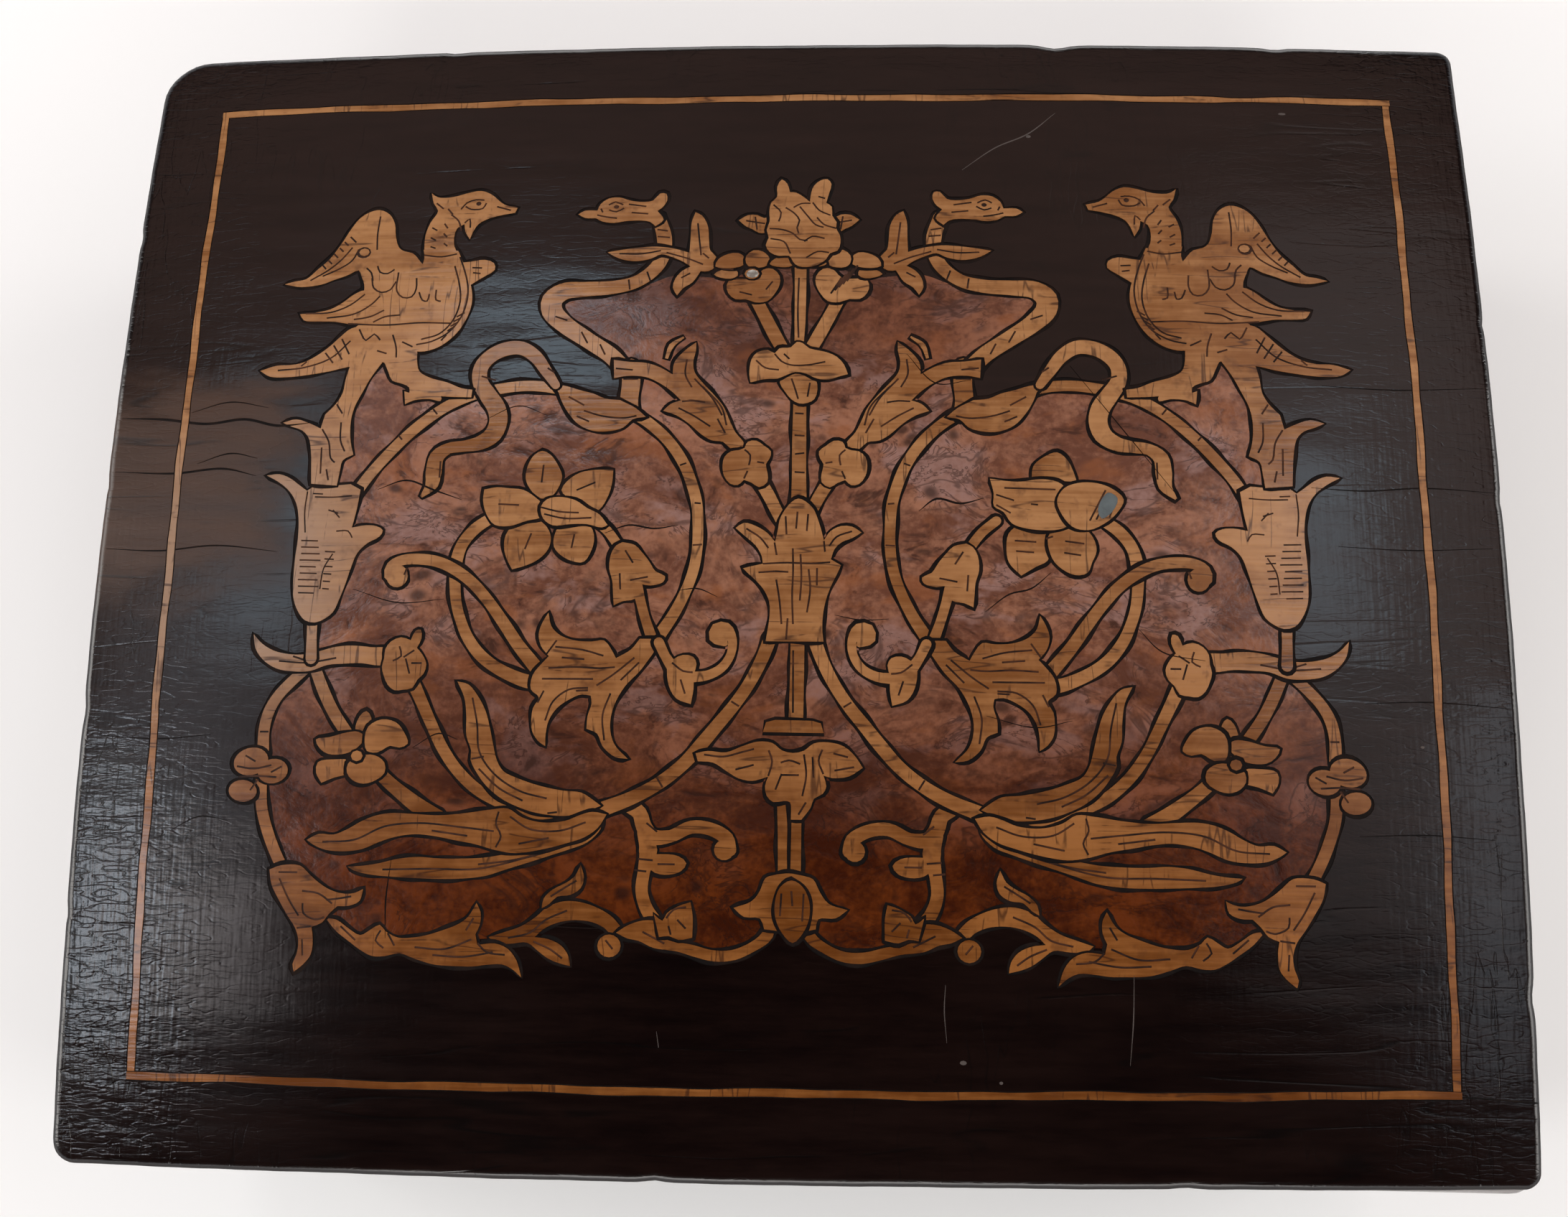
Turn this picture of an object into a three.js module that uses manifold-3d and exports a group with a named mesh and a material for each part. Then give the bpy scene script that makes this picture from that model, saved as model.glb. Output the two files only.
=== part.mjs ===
// A veneered wooden trinket box with a lift-off lid, in millimetres, +Z up.
// The origin is on the underside, at the middle of the box; the front faces -Y.
// Four boards and a bottom board make the box, and four rim boards carry a domed lid board.
// Light stringing is let into grooves in the lid board, flush with its surface.
import * as THREE from "three";
import { mergeVertices } from "three/addons/utils/BufferGeometryUtils.js";
import Module from "manifold-3d";

const wasm = await Module();
wasm.setup();

// Outside of the box in plan
const boxWidth = 241.4;
const boxDepth = 201.6;
const cornerRounding = 3.2;

// Lid: rim boards, and the domed board on top of them
const rimHeight = 18;
const rimThickness = 4.6;
const lidBoardEdge = 6.5;
const crownAcross = 4.8;
const crownDeep = 6.8;

// Box boards up to the joint, and the tongue on their inner edge that holds the lid in place
const bodyHeight = 62;
const tongueHeight = 5;
const tongueThickness = 4;
const tongueClearance = 0.4;

// Bottom board, in a rebate behind the boards' outer skirt
const bottomThickness = 5;
const bottomSkirt = 4.5;
const bottomClearance = 0.3;

// Stringing let into the lid board; margins run from the box's edge to the strip's centre line
const stringWidth = 1.4;
const stringDepth = 1.2;
const stringSideMargin = 13.6;
const stringFrontMargin = 15.1;
const stringBackMargin = 12.8;
const grooveClearance = 0.3;
const grooveFloorClearance = 0.1;

// Fineness of the faceted surfaces, and how far a cut runs past what it cuts
const crownStep = 8;
const roundingSteps = 3;
const cutOverrun = 1;

const halfWidth = boxWidth / 2;
const halfDepth = boxDepth / 2;
const tongueInset = rimThickness + tongueClearance;
const boardThickness = tongueInset + tongueThickness;
const lidBoardBase = bodyHeight + rimHeight;
const lidBoardShoulder = lidBoardBase + lidBoardEdge;
// The rounding leaves a flat edge on the thinnest board that carries it
const cornerRadius = Math.min(cornerRounding, rimThickness - 0.5, lidBoardEdge - 0.5);

const rosewood = new THREE.MeshStandardMaterial({ color: 0x2c201d, roughness: 0.42, metalness: 0 });
const carcassWood = new THREE.MeshStandardMaterial({ color: 0x6d4830, roughness: 0.7, metalness: 0 });
const boxwood = new THREE.MeshStandardMaterial({ color: 0xb9824f, roughness: 0.45, metalness: 0 });

const box = new THREE.Group();

function addPiece(name, geometry, material) {
  const mesh = new THREE.Mesh(geometry, material);
  mesh.name = name;
  box.add(mesh);
}

// A closed geometry as a solid that can be cut and joined
function solidFrom(geometry) {
  const bare = new THREE.BufferGeometry();
  bare.setAttribute("position", geometry.getAttribute("position"));
  bare.setIndex(geometry.index);
  const merged = mergeVertices(bare, 1e-4);
  return new wasm.Manifold(
    new wasm.Mesh({
      numProp: 3,
      vertProperties: new Float32Array(merged.getAttribute("position").array),
      triVerts: new Uint32Array(merged.index.array),
    }),
  );
}

function geometryFrom(solid) {
  const mesh = solid.getMesh();
  const geometry = new THREE.BufferGeometry();
  geometry.setAttribute("position", new THREE.BufferAttribute(mesh.vertProperties, 3));
  geometry.setIndex(new THREE.BufferAttribute(mesh.triVerts, 1));
  geometry.computeVertexNormals();
  return geometry;
}

function block(x0, x1, y0, y1, z0, z1) {
  const geometry = new THREE.BoxGeometry(x1 - x0, y1 - y0, z1 - z0);
  geometry.translate((x0 + x1) / 2, (y0 + y1) / 2, (z0 + z1) / 2);
  return solidFrom(geometry);
}

// A board along the front, full width, its two outer corners rounded
function frontStrip(thickness, z0, z1) {
  const outline = new THREE.Shape();
  outline.moveTo(-halfWidth, -halfDepth + thickness);
  outline.lineTo(-halfWidth, -halfDepth + cornerRadius);
  outline.absarc(
    -halfWidth + cornerRadius, -halfDepth + cornerRadius, cornerRadius, Math.PI, 1.5 * Math.PI, false,
  );
  outline.absarc(
    halfWidth - cornerRadius, -halfDepth + cornerRadius, cornerRadius, 1.5 * Math.PI, 2 * Math.PI, false,
  );
  outline.lineTo(halfWidth, -halfDepth + thickness);
  outline.closePath();
  const geometry = new THREE.ExtrudeGeometry(outline, {
    depth: z1 - z0,
    bevelEnabled: false,
    curveSegments: 2 * roundingSteps,
  });
  geometry.translate(0, 0, z0);
  return solidFrom(geometry);
}

// The front board: rebated below for the bottom board, with the tongue above
function frontBoard() {
  const board = frontStrip(boardThickness, 0, bodyHeight);
  const inner = halfWidth - bottomSkirt;
  const rebate = block(
    -inner, inner, -halfDepth + bottomSkirt, -halfDepth + boardThickness + cutOverrun,
    -cutOverrun, bottomThickness,
  );
  const reach = halfWidth - tongueInset;
  const tongue = block(
    -reach, reach, -halfDepth + tongueInset, -halfDepth + boardThickness,
    bodyHeight - cutOverrun, bodyHeight + tongueHeight,
  );
  return board.subtract(rebate).add(tongue);
}

// The right board, between the front and the back one
function rightBoard() {
  const inner = halfWidth - boardThickness;
  const reach = halfDepth - boardThickness;
  const board = block(inner, halfWidth, -reach, reach, 0, bodyHeight);
  const rebate = block(
    inner - cutOverrun, halfWidth - bottomSkirt, -reach - cutOverrun, reach + cutOverrun,
    -cutOverrun, bottomThickness,
  );
  const tongue = block(
    inner, halfWidth - tongueInset, -reach, reach,
    bodyHeight - cutOverrun, bodyHeight + tongueHeight,
  );
  return board.subtract(rebate).add(tongue);
}

function bottomBoard() {
  const acrossHalf = halfWidth - bottomSkirt - bottomClearance;
  const deepHalf = halfDepth - bottomSkirt - bottomClearance;
  return block(-acrossHalf, acrossHalf, -deepHalf, deepHalf, 0, bottomThickness);
}

function rightRim() {
  const reach = halfDepth - rimThickness;
  return block(halfWidth - rimThickness, halfWidth, -reach, reach, bodyHeight, lidBoardBase);
}

// Height of the domed surface above the lid board's shoulder
function crown(x, y) {
  return crownAcross * (1 - (x / halfWidth) ** 2) + crownDeep * (1 - (y / halfDepth) ** 2);
}

// Grid lines over a quarter round, as distances out from where it starts
function roundingLines() {
  const lines = [];
  for (let i = 1; i <= roundingSteps; i++) {
    lines.push(cornerRadius * Math.tan(((Math.PI / 4) * i) / roundingSteps));
  }
  return lines;
}

// Grid lines across a board: even over the middle, close together in the rounded edges
function gridLines(half) {
  const flat = half - cornerRadius;
  const steps = Math.max(2, Math.round((2 * flat) / crownStep));
  const lines = roundingLines().map((out) => -flat - out).reverse();
  for (let i = 0; i <= steps; i++) lines.push(-flat + (2 * flat * i) / steps);
  return lines.concat(roundingLines().map((out) => flat + out));
}

// The lid board: flat below, rounded at its corners and upper edge, domed above
function lidBoard() {
  const across = gridLines(halfWidth);
  const deep = gridLines(halfDepth);
  const roundingBase = lidBoardShoulder - cornerRadius;
  const upright = [lidBoardBase, roundingBase];
  upright.push(...roundingLines().map((out) => roundingBase + out));
  const geometry = new THREE.BoxGeometry(
    2, 2, 2, across.length - 1, deep.length - 1, upright.length - 1,
  );
  const place = geometry.getAttribute("position");
  const lineAt = (lines, share) => lines[Math.round(((share + 1) / 2) * (lines.length - 1))];
  const beyond = (value, limit) => Math.sign(value) * Math.max(0, Math.abs(value) - limit);
  for (let i = 0; i < place.count; i++) {
    const gridX = lineAt(across, place.getX(i));
    const gridY = lineAt(deep, place.getY(i));
    const gridZ = lineAt(upright, place.getZ(i));
    const out = new THREE.Vector3(
      beyond(gridX, halfWidth - cornerRadius),
      beyond(gridY, halfDepth - cornerRadius),
      Math.max(0, gridZ - roundingBase),
    );
    const core = new THREE.Vector3(gridX - out.x, gridY - out.y, gridZ - out.z);
    const reach = Math.max(Math.abs(out.x), Math.abs(out.y), out.z);
    if (reach > 0) core.add(out.setLength(reach));
    const rise = Math.min(1, (gridZ - lidBoardBase) / (roundingBase - lidBoardBase));
    core.z += crown(core.x, core.y) * rise;
    place.setXYZ(i, core.x, core.y, core.z);
  }
  return solidFrom(geometry);
}

// A bar over a rectangle in plan that follows the dome, with heights from the surface
function crownedBar(x0, x1, y0, y1, low, high) {
  const steps = (length) => Math.max(1, Math.round(length / crownStep));
  const geometry = new THREE.BoxGeometry(x1 - x0, y1 - y0, high - low, steps(x1 - x0), steps(y1 - y0), 1);
  geometry.translate((x0 + x1) / 2, (y0 + y1) / 2, lidBoardShoulder + (low + high) / 2);
  const place = geometry.getAttribute("position");
  for (let i = 0; i < place.count; i++) {
    place.setZ(i, place.getZ(i) + crown(place.getX(i), place.getY(i)));
  }
  return solidFrom(geometry);
}

// Where the four strips lie in plan: the long ones run through, the short ones meet them
const stringAcross = halfWidth - stringSideMargin;
const stringFront = -halfDepth + stringFrontMargin;
const stringBack = halfDepth - stringBackMargin;
const halfString = stringWidth / 2;
const strips = {
  front_stringing: {
    x: [-stringAcross - halfString, stringAcross + halfString],
    y: [stringFront - halfString, stringFront + halfString],
  },
  back_stringing: {
    x: [-stringAcross - halfString, stringAcross + halfString],
    y: [stringBack - halfString, stringBack + halfString],
  },
  left_stringing: {
    x: [-stringAcross - halfString, -stringAcross + halfString],
    y: [stringFront + halfString + grooveClearance, stringBack - halfString - grooveClearance],
  },
  right_stringing: {
    x: [stringAcross - halfString, stringAcross + halfString],
    y: [stringFront + halfString + grooveClearance, stringBack - halfString - grooveClearance],
  },
};

// The four grooves, a clearance wider than the strips, joined into one cut
function grooves() {
  const bars = Object.values(strips).map(({ x, y }) =>
    crownedBar(
      x[0] - grooveClearance, x[1] + grooveClearance,
      y[0] - grooveClearance, y[1] + grooveClearance,
      -stringDepth - grooveFloorClearance, cutOverrun,
    ),
  );
  return bars.reduce((joined, bar) => joined.add(bar));
}

const halfTurn = [0, 0, 180];

addPiece("front_board", geometryFrom(frontBoard()), rosewood);
addPiece("back_board", geometryFrom(frontBoard().rotate(halfTurn)), rosewood);
addPiece("right_board", geometryFrom(rightBoard()), rosewood);
addPiece("left_board", geometryFrom(rightBoard().rotate(halfTurn)), rosewood);
addPiece("bottom_board", geometryFrom(bottomBoard()), carcassWood);

const frontRim = frontStrip(rimThickness, bodyHeight, lidBoardBase);
addPiece("lid_front_rim", geometryFrom(frontRim), rosewood);
addPiece("lid_back_rim", geometryFrom(frontRim.rotate(halfTurn)), rosewood);
addPiece("lid_right_rim", geometryFrom(rightRim()), rosewood);
addPiece("lid_left_rim", geometryFrom(rightRim().rotate(halfTurn)), rosewood);
addPiece("lid_board", geometryFrom(lidBoard().subtract(grooves())), rosewood);

for (const [name, { x, y }] of Object.entries(strips)) {
  const strip = crownedBar(x[0], x[1], y[0], y[1], -stringDepth, 0);
  addPiece(name, geometryFrom(strip), boxwood);
}

export default box;
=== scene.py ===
import math

import bpy
import bmesh
import numpy as np
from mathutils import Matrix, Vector
from mathutils.geometry import delaunay_2d_cdt


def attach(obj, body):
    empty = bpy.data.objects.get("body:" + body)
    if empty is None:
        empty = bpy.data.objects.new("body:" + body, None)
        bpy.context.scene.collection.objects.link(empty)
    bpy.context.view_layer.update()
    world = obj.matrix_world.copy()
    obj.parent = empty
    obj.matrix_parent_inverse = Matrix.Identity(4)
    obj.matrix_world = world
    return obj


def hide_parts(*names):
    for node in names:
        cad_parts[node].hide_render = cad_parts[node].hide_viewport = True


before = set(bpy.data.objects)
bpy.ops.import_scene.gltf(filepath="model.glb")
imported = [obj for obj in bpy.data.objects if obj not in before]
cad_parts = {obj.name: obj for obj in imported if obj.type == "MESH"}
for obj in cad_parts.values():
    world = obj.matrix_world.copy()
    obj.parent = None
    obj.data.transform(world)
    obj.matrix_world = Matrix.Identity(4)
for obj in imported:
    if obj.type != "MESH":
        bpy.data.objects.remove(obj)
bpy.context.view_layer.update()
print("box loaded")

# Lengths are in millimetres until a mesh is made. Finishes work in metres.
mm = 0.001


# an output socket that can be used in sums
class Wire:
    def __init__(self, nodes, socket):
        self.nodes = nodes
        self.socket = socket

    def maths(self, operation, first, second=None):
        sockets = {0: first}
        if second is not None:
            sockets[1] = second
        return self.nodes.node("ShaderNodeMath", {"operation": operation}, sockets)

    def __add__(self, other):
        return self.maths("ADD", self, other)

    def __radd__(self, other):
        return self.maths("ADD", other, self)

    def __sub__(self, other):
        return self.maths("SUBTRACT", self, other)

    def __rsub__(self, other):
        return self.maths("SUBTRACT", other, self)

    def __mul__(self, other):
        return self.maths("MULTIPLY", self, other)

    def __abs__(self):
        return self.maths("ABSOLUTE", self)

    def most(self, other):
        return self.maths("MAXIMUM", self, other)

    # 0 at low, 1 at high, smooth between
    def span(self, low, high):
        return self.nodes.node(
            "ShaderNodeMapRange", {"interpolation_type": "SMOOTHSTEP"},
            {"Value": self, "From Min": low, "From Max": high, "To Min": 0.0, "To Max": 1.0})

    # 1 where the value is middle, 0 further off than thin
    def ridge(self, middle, thin):
        return 1.0 - abs(self - middle).span(0.0, thin)


# the nodes of one tree, with short ways to add them
class Nodes:
    def __init__(self, tree, owner=None):
        self.tree = tree
        self.owner = owner
        self.place = None
        tree.nodes.clear()

    def node(self, kind, settings=None, sockets=None, output=0):
        made = self.tree.nodes.new(kind)
        for key, value in (settings or {}).items():
            setattr(made, key, value)
        for key, value in (sockets or {}).items():
            socket = made.inputs[key]
            if isinstance(value, (Wire, list)):
                for wire in value if isinstance(value, list) else [value]:
                    self.tree.links.new(wire.socket, socket)
            elif isinstance(value, tuple) and socket.type == "RGBA":
                socket.default_value = (*value, 1.0)
            else:
                socket.default_value = value
        return Wire(self, made.outputs[output]) if made.outputs else None

    # object coordinates, stretched for grain
    def at(self, stretch=(1, 1, 1)):
        if self.place is None:
            self.place = self.node("ShaderNodeTexCoord", output="Object")
        return self.node("ShaderNodeMapping", None, {"Vector": self.place, "Scale": stretch})

    def axis(self, letter):
        return self.node("ShaderNodeSeparateXYZ", None, {"Vector": self.at()}, letter)

    def noise(self, where, scale, detail=3.0, rough=0.5, bend=0.0):
        return self.node("ShaderNodeTexNoise", None, {
            "Vector": where, "Scale": scale, "Detail": detail, "Roughness": rough, "Distortion": bend})

    def spots(self, where, scale):
        return self.node("ShaderNodeTexVoronoi", {"feature": "F1"},
                         {"Vector": where, "Scale": scale, "Randomness": 1.0})

    # coordinates pushed about by noise, so that the figure swirls
    def bent(self, where, scale, amount):
        push = self.node("ShaderNodeTexNoise", None,
                         {"Vector": where, "Scale": scale, "Detail": 2.0}, "Color")
        centred = self.node("ShaderNodeVectorMath", {"operation": "SUBTRACT"}, {0: push, 1: (0.5, 0.5, 0.5)})
        scaled = self.node("ShaderNodeVectorMath", {"operation": "SCALE"}, {0: centred, "Scale": amount})
        return self.node("ShaderNodeVectorMath", {"operation": "ADD"}, {0: where, 1: scaled})

    # thin wandering lines, 1 on the line
    def hairs(self, stretch, scale, thin, detail=3.0):
        return self.noise(self.at(stretch), scale, detail, 0.55).ridge(0.5, thin)

    def mix(self, share, first, second):
        return self.node("ShaderNodeMix", {"data_type": "RGBA", "blend_type": "MIX"},
                         {0: share, 6: first, 7: second}, 2)

    def named(self, name):
        return self.node("ShaderNodeAttribute", {"attribute_type": "GEOMETRY", "attribute_name": name},
                         None, "Fac")

    def bump(self, height, depth, strength):
        return self.node("ShaderNodeBump", None, {"Height": height, "Distance": depth, "Strength": strength})

    def close(self, sockets):
        shader = self.node("ShaderNodeBsdfPrincipled", None, sockets)
        self.node("ShaderNodeOutputMaterial", None, {"Surface": shader})
        return self.owner


def newFinish(name):
    material = bpy.data.materials.new(name)
    material.use_nodes = True
    return Nodes(material.node_tree, material)


rosewoodLook = {
    "dark": (0.0024, 0.0007, 0.0006),
    "light": (0.0080, 0.0030, 0.0022),
    "sideDark": (0.00782, 0.003864, 0.003128),
    "sideLight": (0.05336, 0.02254, 0.01426),
    "pale": (0.0552, 0.02392, 0.01104),     # bare brown patch at the left edge
    "crack": (0.0018, 0.0010, 0.0009),
    "roughness": 0.165,
    "wornEdge": 0.60,               # how much duller the rounded edge is
    "crazePerMetre": 468.0,
    "threadsPerMetre": 1248.0,
    "bumpDepth": 0.00010,
}


def makeRosewood(name, grainAlong="x", top=True):
    f = newFinish(name)
    look = rosewoodLook
    stretch = (1.0, 9.0, 9.0) if grainAlong == "x" else (9.0, 1.0, 9.0)
    grain = f.noise(f.at(stretch), 30.0, 4.0, 0.66)
    ripple = f.noise(f.at(tuple(v ** 0.5 for v in stretch)), 150.0, 3.0, 0.66)
    cloud = f.noise(f.at(), 14.0, 2.0, 0.55)
    shade = (grain * 0.65 + ripple * 0.3 + cloud * 0.35).span(0.40, 0.88)
    crazing = f.hairs((0.38, 1.5, 1.0), look["crazePerMetre"], 0.045, 1.0)
    threads = f.noise(f.at((1.0, 0.08, 1.0)), look["threadsPerMetre"], 1.0, 0.5)
    rough = look["roughness"] + (cloud - 0.5) * 0.10 + (grain - 0.5) * 0.08
    if top:
        x = f.axis("X")
        y = f.axis("Y")
        wander = f.noise(f.at((1.0, 2.0, 1.0)), 38.0, 4.0, 0.6)
        bareX = 1.0 - (x + (wander - 0.5) * 0.05).span(-0.098, -0.078)
        bareY = 1.0 - abs(y - 0.014 + (wander - 0.5) * 0.03).span(0.010, 0.024)
        bare = bareX * bareY
        colour = f.mix(shade, look["dark"], look["light"])
        colour = f.mix(bare * (0.35 + grain * 0.9), colour, look["pale"])
        slow = f.noise(f.at((1.0, 4.5, 1.0)), 15.0, 2.0, 0.6)
        # the polish is crazed most at the front left corner, and a little along both sides
        corner = (1.0 - x.span(-0.112, -0.088)) * (1.0 - y.span(-0.052, -0.010))
        crazed = 0.13 + abs(x).span(0.090, 0.106) * 0.20 + corner * 0.36
        worn = f.named("drop").span(0.00004, 0.00028)
        along = f.hairs((0.22, 2.2, 1.0), 30.0, 0.012) * wander.span(0.46, 0.58)
        across = f.hairs((2.4, 0.5, 1.0), 55.0, 0.012) * cloud.span(0.50, 0.60)
        marks = along.most(across * 0.6)
        rough = rough + bare * 0.14 + worn * look["wornEdge"]
    else:
        colour = f.mix(shade, look["sideDark"], look["sideLight"])
        slow = cloud
        crazed = 0.35
        marks = crazing * 0.3
    colour = f.mix(marks * 0.7, colour, look["crack"])
    height = ripple * 2.0 + grain * 0.9 + threads * 0.7 - crazing * 0.34
    normal = f.bump(slow * 3.6 + height * crazed - marks * 0.22, look["bumpDepth"], 0.85)
    return f.close({"Base Color": colour, "Roughness": rough, "Normal": normal,
                    "Specular IOR Level": 0.5 if top else 0.25})


burrLook = {
    "middle": (0.108, 0.0360, 0.0185),
    "middlePale": (0.280, 0.120, 0.0685),
    "bloomAndSheen": (0.253, 0.1398, 0.1178),     # greyed polish, partly a painted bluish sheen
    "fire": (0.245, 0.078, 0.0235),       # clear orange wood
    "bottom": (0.03312, 0.00552, 0.001104),
    "bottomPale": (0.103, 0.02116, 0.003312),
    "vein": (0.018, 0.0052, 0.0030),
    "roughness": 0.18,
    "bumpDepth": 0.00010,
}


def makeBurr():
    f = newFinish("burrVeneer")
    look = burrLook
    place = f.bent(f.at((0.8, 1.2, 1.0)), 30.0, 0.016)
    swirl = f.noise(place, 50.0, 4.0, 0.62, 1.1)
    curl = f.noise(place, 150.0, 4.0, 0.66, 0.7)
    fine = f.noise(f.at(), 900.0, 2.0, 0.6)
    patches = f.noise(place, 72.0, 4.0, 0.66)
    x = f.axis("X")
    y = f.axis("Y")
    bright = (swirl * 0.66 + curl * 0.50 + (fine - 0.5) * 0.30).span(0.45, 0.75)
    middle = f.mix(bright, look["middle"], look["middlePale"])
    # painted reflection: pinkish-grey patches over the middle, partly real greyed polish and partly a
    # painted sheen
    middle = f.mix(patches.span(0.50, 0.62) * (0.25 + fine * 1.0), middle, look["bloomAndSheen"])
    middle = f.mix((1.0 - patches.span(0.36, 0.46)) * 0.5, middle, look["fire"])
    # darker and redder at the front, and a little at the back; the paler, greyed middle is partly a painted
    # reflection
    low = 1.0 - (y + (swirl - 0.5) * 0.03).span(-0.054, -0.002)
    high = y.span(0.026, 0.044) * (1.0 - abs(x).span(0.020, 0.050))
    bottom = f.mix(bright, look["bottom"], look["bottomPale"])
    colour = f.mix(low.most(high * 0.62), middle, bottom)
    eyes = (1.0 - f.spots(place, 185.0).span(0.08, 0.30)) * swirl.span(0.46, 0.56)
    veins = swirl.ridge(0.52, 0.028) * patches.span(0.40, 0.58)
    hairs = curl.ridge(0.5, 0.024) * patches.span(0.46, 0.56)
    clouds = 1.0 - curl.span(0.30, 0.42)
    marks = (veins * 0.6).most(hairs * 0.65).most(eyes * 0.8).most(clouds * 0.7)
    colour = f.mix(marks, colour, look["vein"])
    slow = f.noise(f.at((1.0, 3.0, 1.0)), 24.0, 2.0, 0.6)
    height = slow * 3.6 + (curl * 1.1 + fine * 0.25) * 0.9
    rough = look["roughness"] + (curl - 0.5) * 0.12
    return f.close({"Base Color": colour, "Roughness": rough,
                    "Normal": f.bump(height, look["bumpDepth"], 0.9), "Specular IOR Level": 0.5})


inlayLook = {
    "gold": (0.184, 0.0655, 0.0150),
    "goldPale": (0.388, 0.184, 0.0710),
    "orange": (0.09, 0.02385, 0.00342),
    "orangePale": (0.243, 0.0828, 0.0162),
    # painted sheen: a pale silvery tone standing in for light mirrored at the left of the lid
    "paintedSilverSheen": (0.297, 0.1845, 0.117),
    "crack": (0.030, 0.010, 0.0050),
    "dirt": (0.085, 0.030, 0.011),
    "roughness": 0.19,
    "bumpDepth": 0.00010,
}


def makeInlay(name):
    f = newFinish(name)
    look = inlayLook
    shade = f.named("shade")
    grain = f.noise(f.at((1.1, 12.0, 1.0)), 26.0, 4.0, 0.65)
    fibre = f.noise(f.at((2.0, 40.0, 1.0)), 30.0, 2.0, 0.6)
    cloud = f.noise(f.at(), 75.0, 4.0, 0.68)
    x = f.axis("X")
    y = f.axis("Y")
    bright = (grain * 0.46 + fibre * 0.24 + cloud * 0.50 + shade * 0.16).span(0.50, 0.86)
    gold = f.mix(bright, look["gold"], look["goldPale"])
    # more orange towards the front, and a painted silvery sheen at the left
    low = 1.0 - y.span(-0.066, 0.012)
    colour = f.mix(low * 0.85, gold, f.mix(bright, look["orange"], look["orangePale"]))
    left = (1.0 - x.span(-0.096, -0.060)) * (1.0 - abs(y + 0.002).span(0.008, 0.036))
    colour = f.mix(left * 0.85, colour, look["paintedSilverSheen"])
    across = f.hairs((2.6, 0.25, 1.0), 110.0, 0.020, 2.0) * cloud.span(0.50, 0.58)
    along = f.hairs((0.25, 2.6, 1.0), 100.0, 0.020, 2.0) * (1.0 - cloud.span(0.44, 0.52))
    colour = f.mix(across.most(along) * 0.75, colour, look["crack"])
    dirt = f.noise(f.at(), 240.0, 3.0, 0.7).span(0.54, 0.74)
    colour = f.mix(dirt * 0.5, colour, look["dirt"])
    slow = f.noise(f.at((1.0, 3.0, 1.0)), 24.0, 2.0, 0.6)
    height = slow * 3.6 + (grain * 0.5 + fibre * 0.5) * 0.8
    rough = look["roughness"] + (cloud - 0.5) * 0.12
    return f.close({"Base Color": colour, "Roughness": rough,
                    "Normal": f.bump(height, look["bumpDepth"], 0.9), "Specular IOR Level": 0.5})


# small dull things: two tones, the noise that mixes them, and their shine
smallLooks = {
    "glueLine": {
        "tones": ((0.0030, 0.0013, 0.0010), (0.011, 0.0048, 0.0030)),
        "spread": (0.4, 0.7), "perMetre": 320.0, "detail": 3.0,
        "roughness": 0.6, "bump": (0.00008, 0.6), "specular": 0.12,
    },
    "engravedLine": {
        "tones": ((0.009, 0.0032, 0.0017), (0.062, 0.021, 0.0085)),
        "spread": (0.34, 0.68), "perMetre": 260.0, "detail": 4.0,
        "roughness": 0.5, "bump": (0.00006, 0.6), "specular": 0.2,
    },
    "paleBead": {
        "tones": ((0.16, 0.14, 0.12), (0.55, 0.54, 0.50)),
        "spread": (0.35, 0.7), "perMetre": 800.0, "detail": 3.0,
        "roughness": 0.3, "bump": (0.00005, 0.5), "specular": 0.5,
    },
    "greyPutty": {
        "tones": ((0.035, 0.045, 0.048), (0.13, 0.155, 0.16)),
        "spread": None, "perMetre": 420.0, "detail": 4.0,
        "roughness": 0.55, "bump": (0.00012, 0.8), "specular": 0.5,
    },
    "scuff": {
        "tones": ((0.020, 0.012, 0.010), (0.095, 0.072, 0.062)),
        "spread": None, "perMetre": 700.0, "detail": 3.0,
        "roughness": 0.6, "bump": (0.00005, 0.5), "specular": 0.5,
    },
}


def makeSmall(name):
    f = newFinish(name)
    look = smallLooks[name]
    spots = f.noise(f.at(), look["perMetre"], look["detail"])
    share = spots.span(*look["spread"]) if look["spread"] else spots
    return f.close({"Base Color": f.mix(share, *look["tones"]), "Roughness": look["roughness"],
                    "Normal": f.bump(spots, *look["bump"]), "Specular IOR Level": look["specular"]})


carcassLook = {
    "dark": (0.10, 0.048, 0.022),
    "light": (0.22, 0.12, 0.06),
    "roughness": 0.62,
    "bumpDepth": 0.0002,
}


def makeCarcass():
    f = newFinish("carcassWood")
    grain = f.noise(f.at((1.0, 12.0, 12.0)), 22.0, 5.0, 0.6, 0.2)
    fibre = f.noise(f.at((2.0, 60.0, 60.0)), 26.0, 3.0)
    colour = f.mix((grain * 0.7 + fibre * 0.4).span(0.35, 0.75), carcassLook["dark"], carcassLook["light"])
    return f.close({"Base Color": colour, "Roughness": carcassLook["roughness"] + (fibre - 0.5) * 0.2,
                    "Normal": f.bump(grain * 0.4 + fibre * 0.6, carcassLook["bumpDepth"], 0.7)})


finishes = {
    "ground": makeRosewood("rosewoodTop"),
    "side": makeRosewood("rosewoodFront", "x", False),
    "sideDeep": makeRosewood("rosewoodSide", "y", False),
    "burr": makeBurr(),
    "light": makeInlay("goldenInlay"),
    "string": makeInlay("boxwoodString"),
    "kerf": makeSmall("glueLine"),
    "putty": makeSmall("greyPutty"),
    "scuff": makeSmall("scuff"),
    "line": makeSmall("engravedLine"),
    "pearl": makeSmall("paleBead"),
    "carcass": makeCarcass(),
}
print("finishes made")

# The pattern is drawn as seen from above. What is drawn on the left is mirrored to the right.
tip = 1  # marks a point where an outline turns sharply

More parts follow.
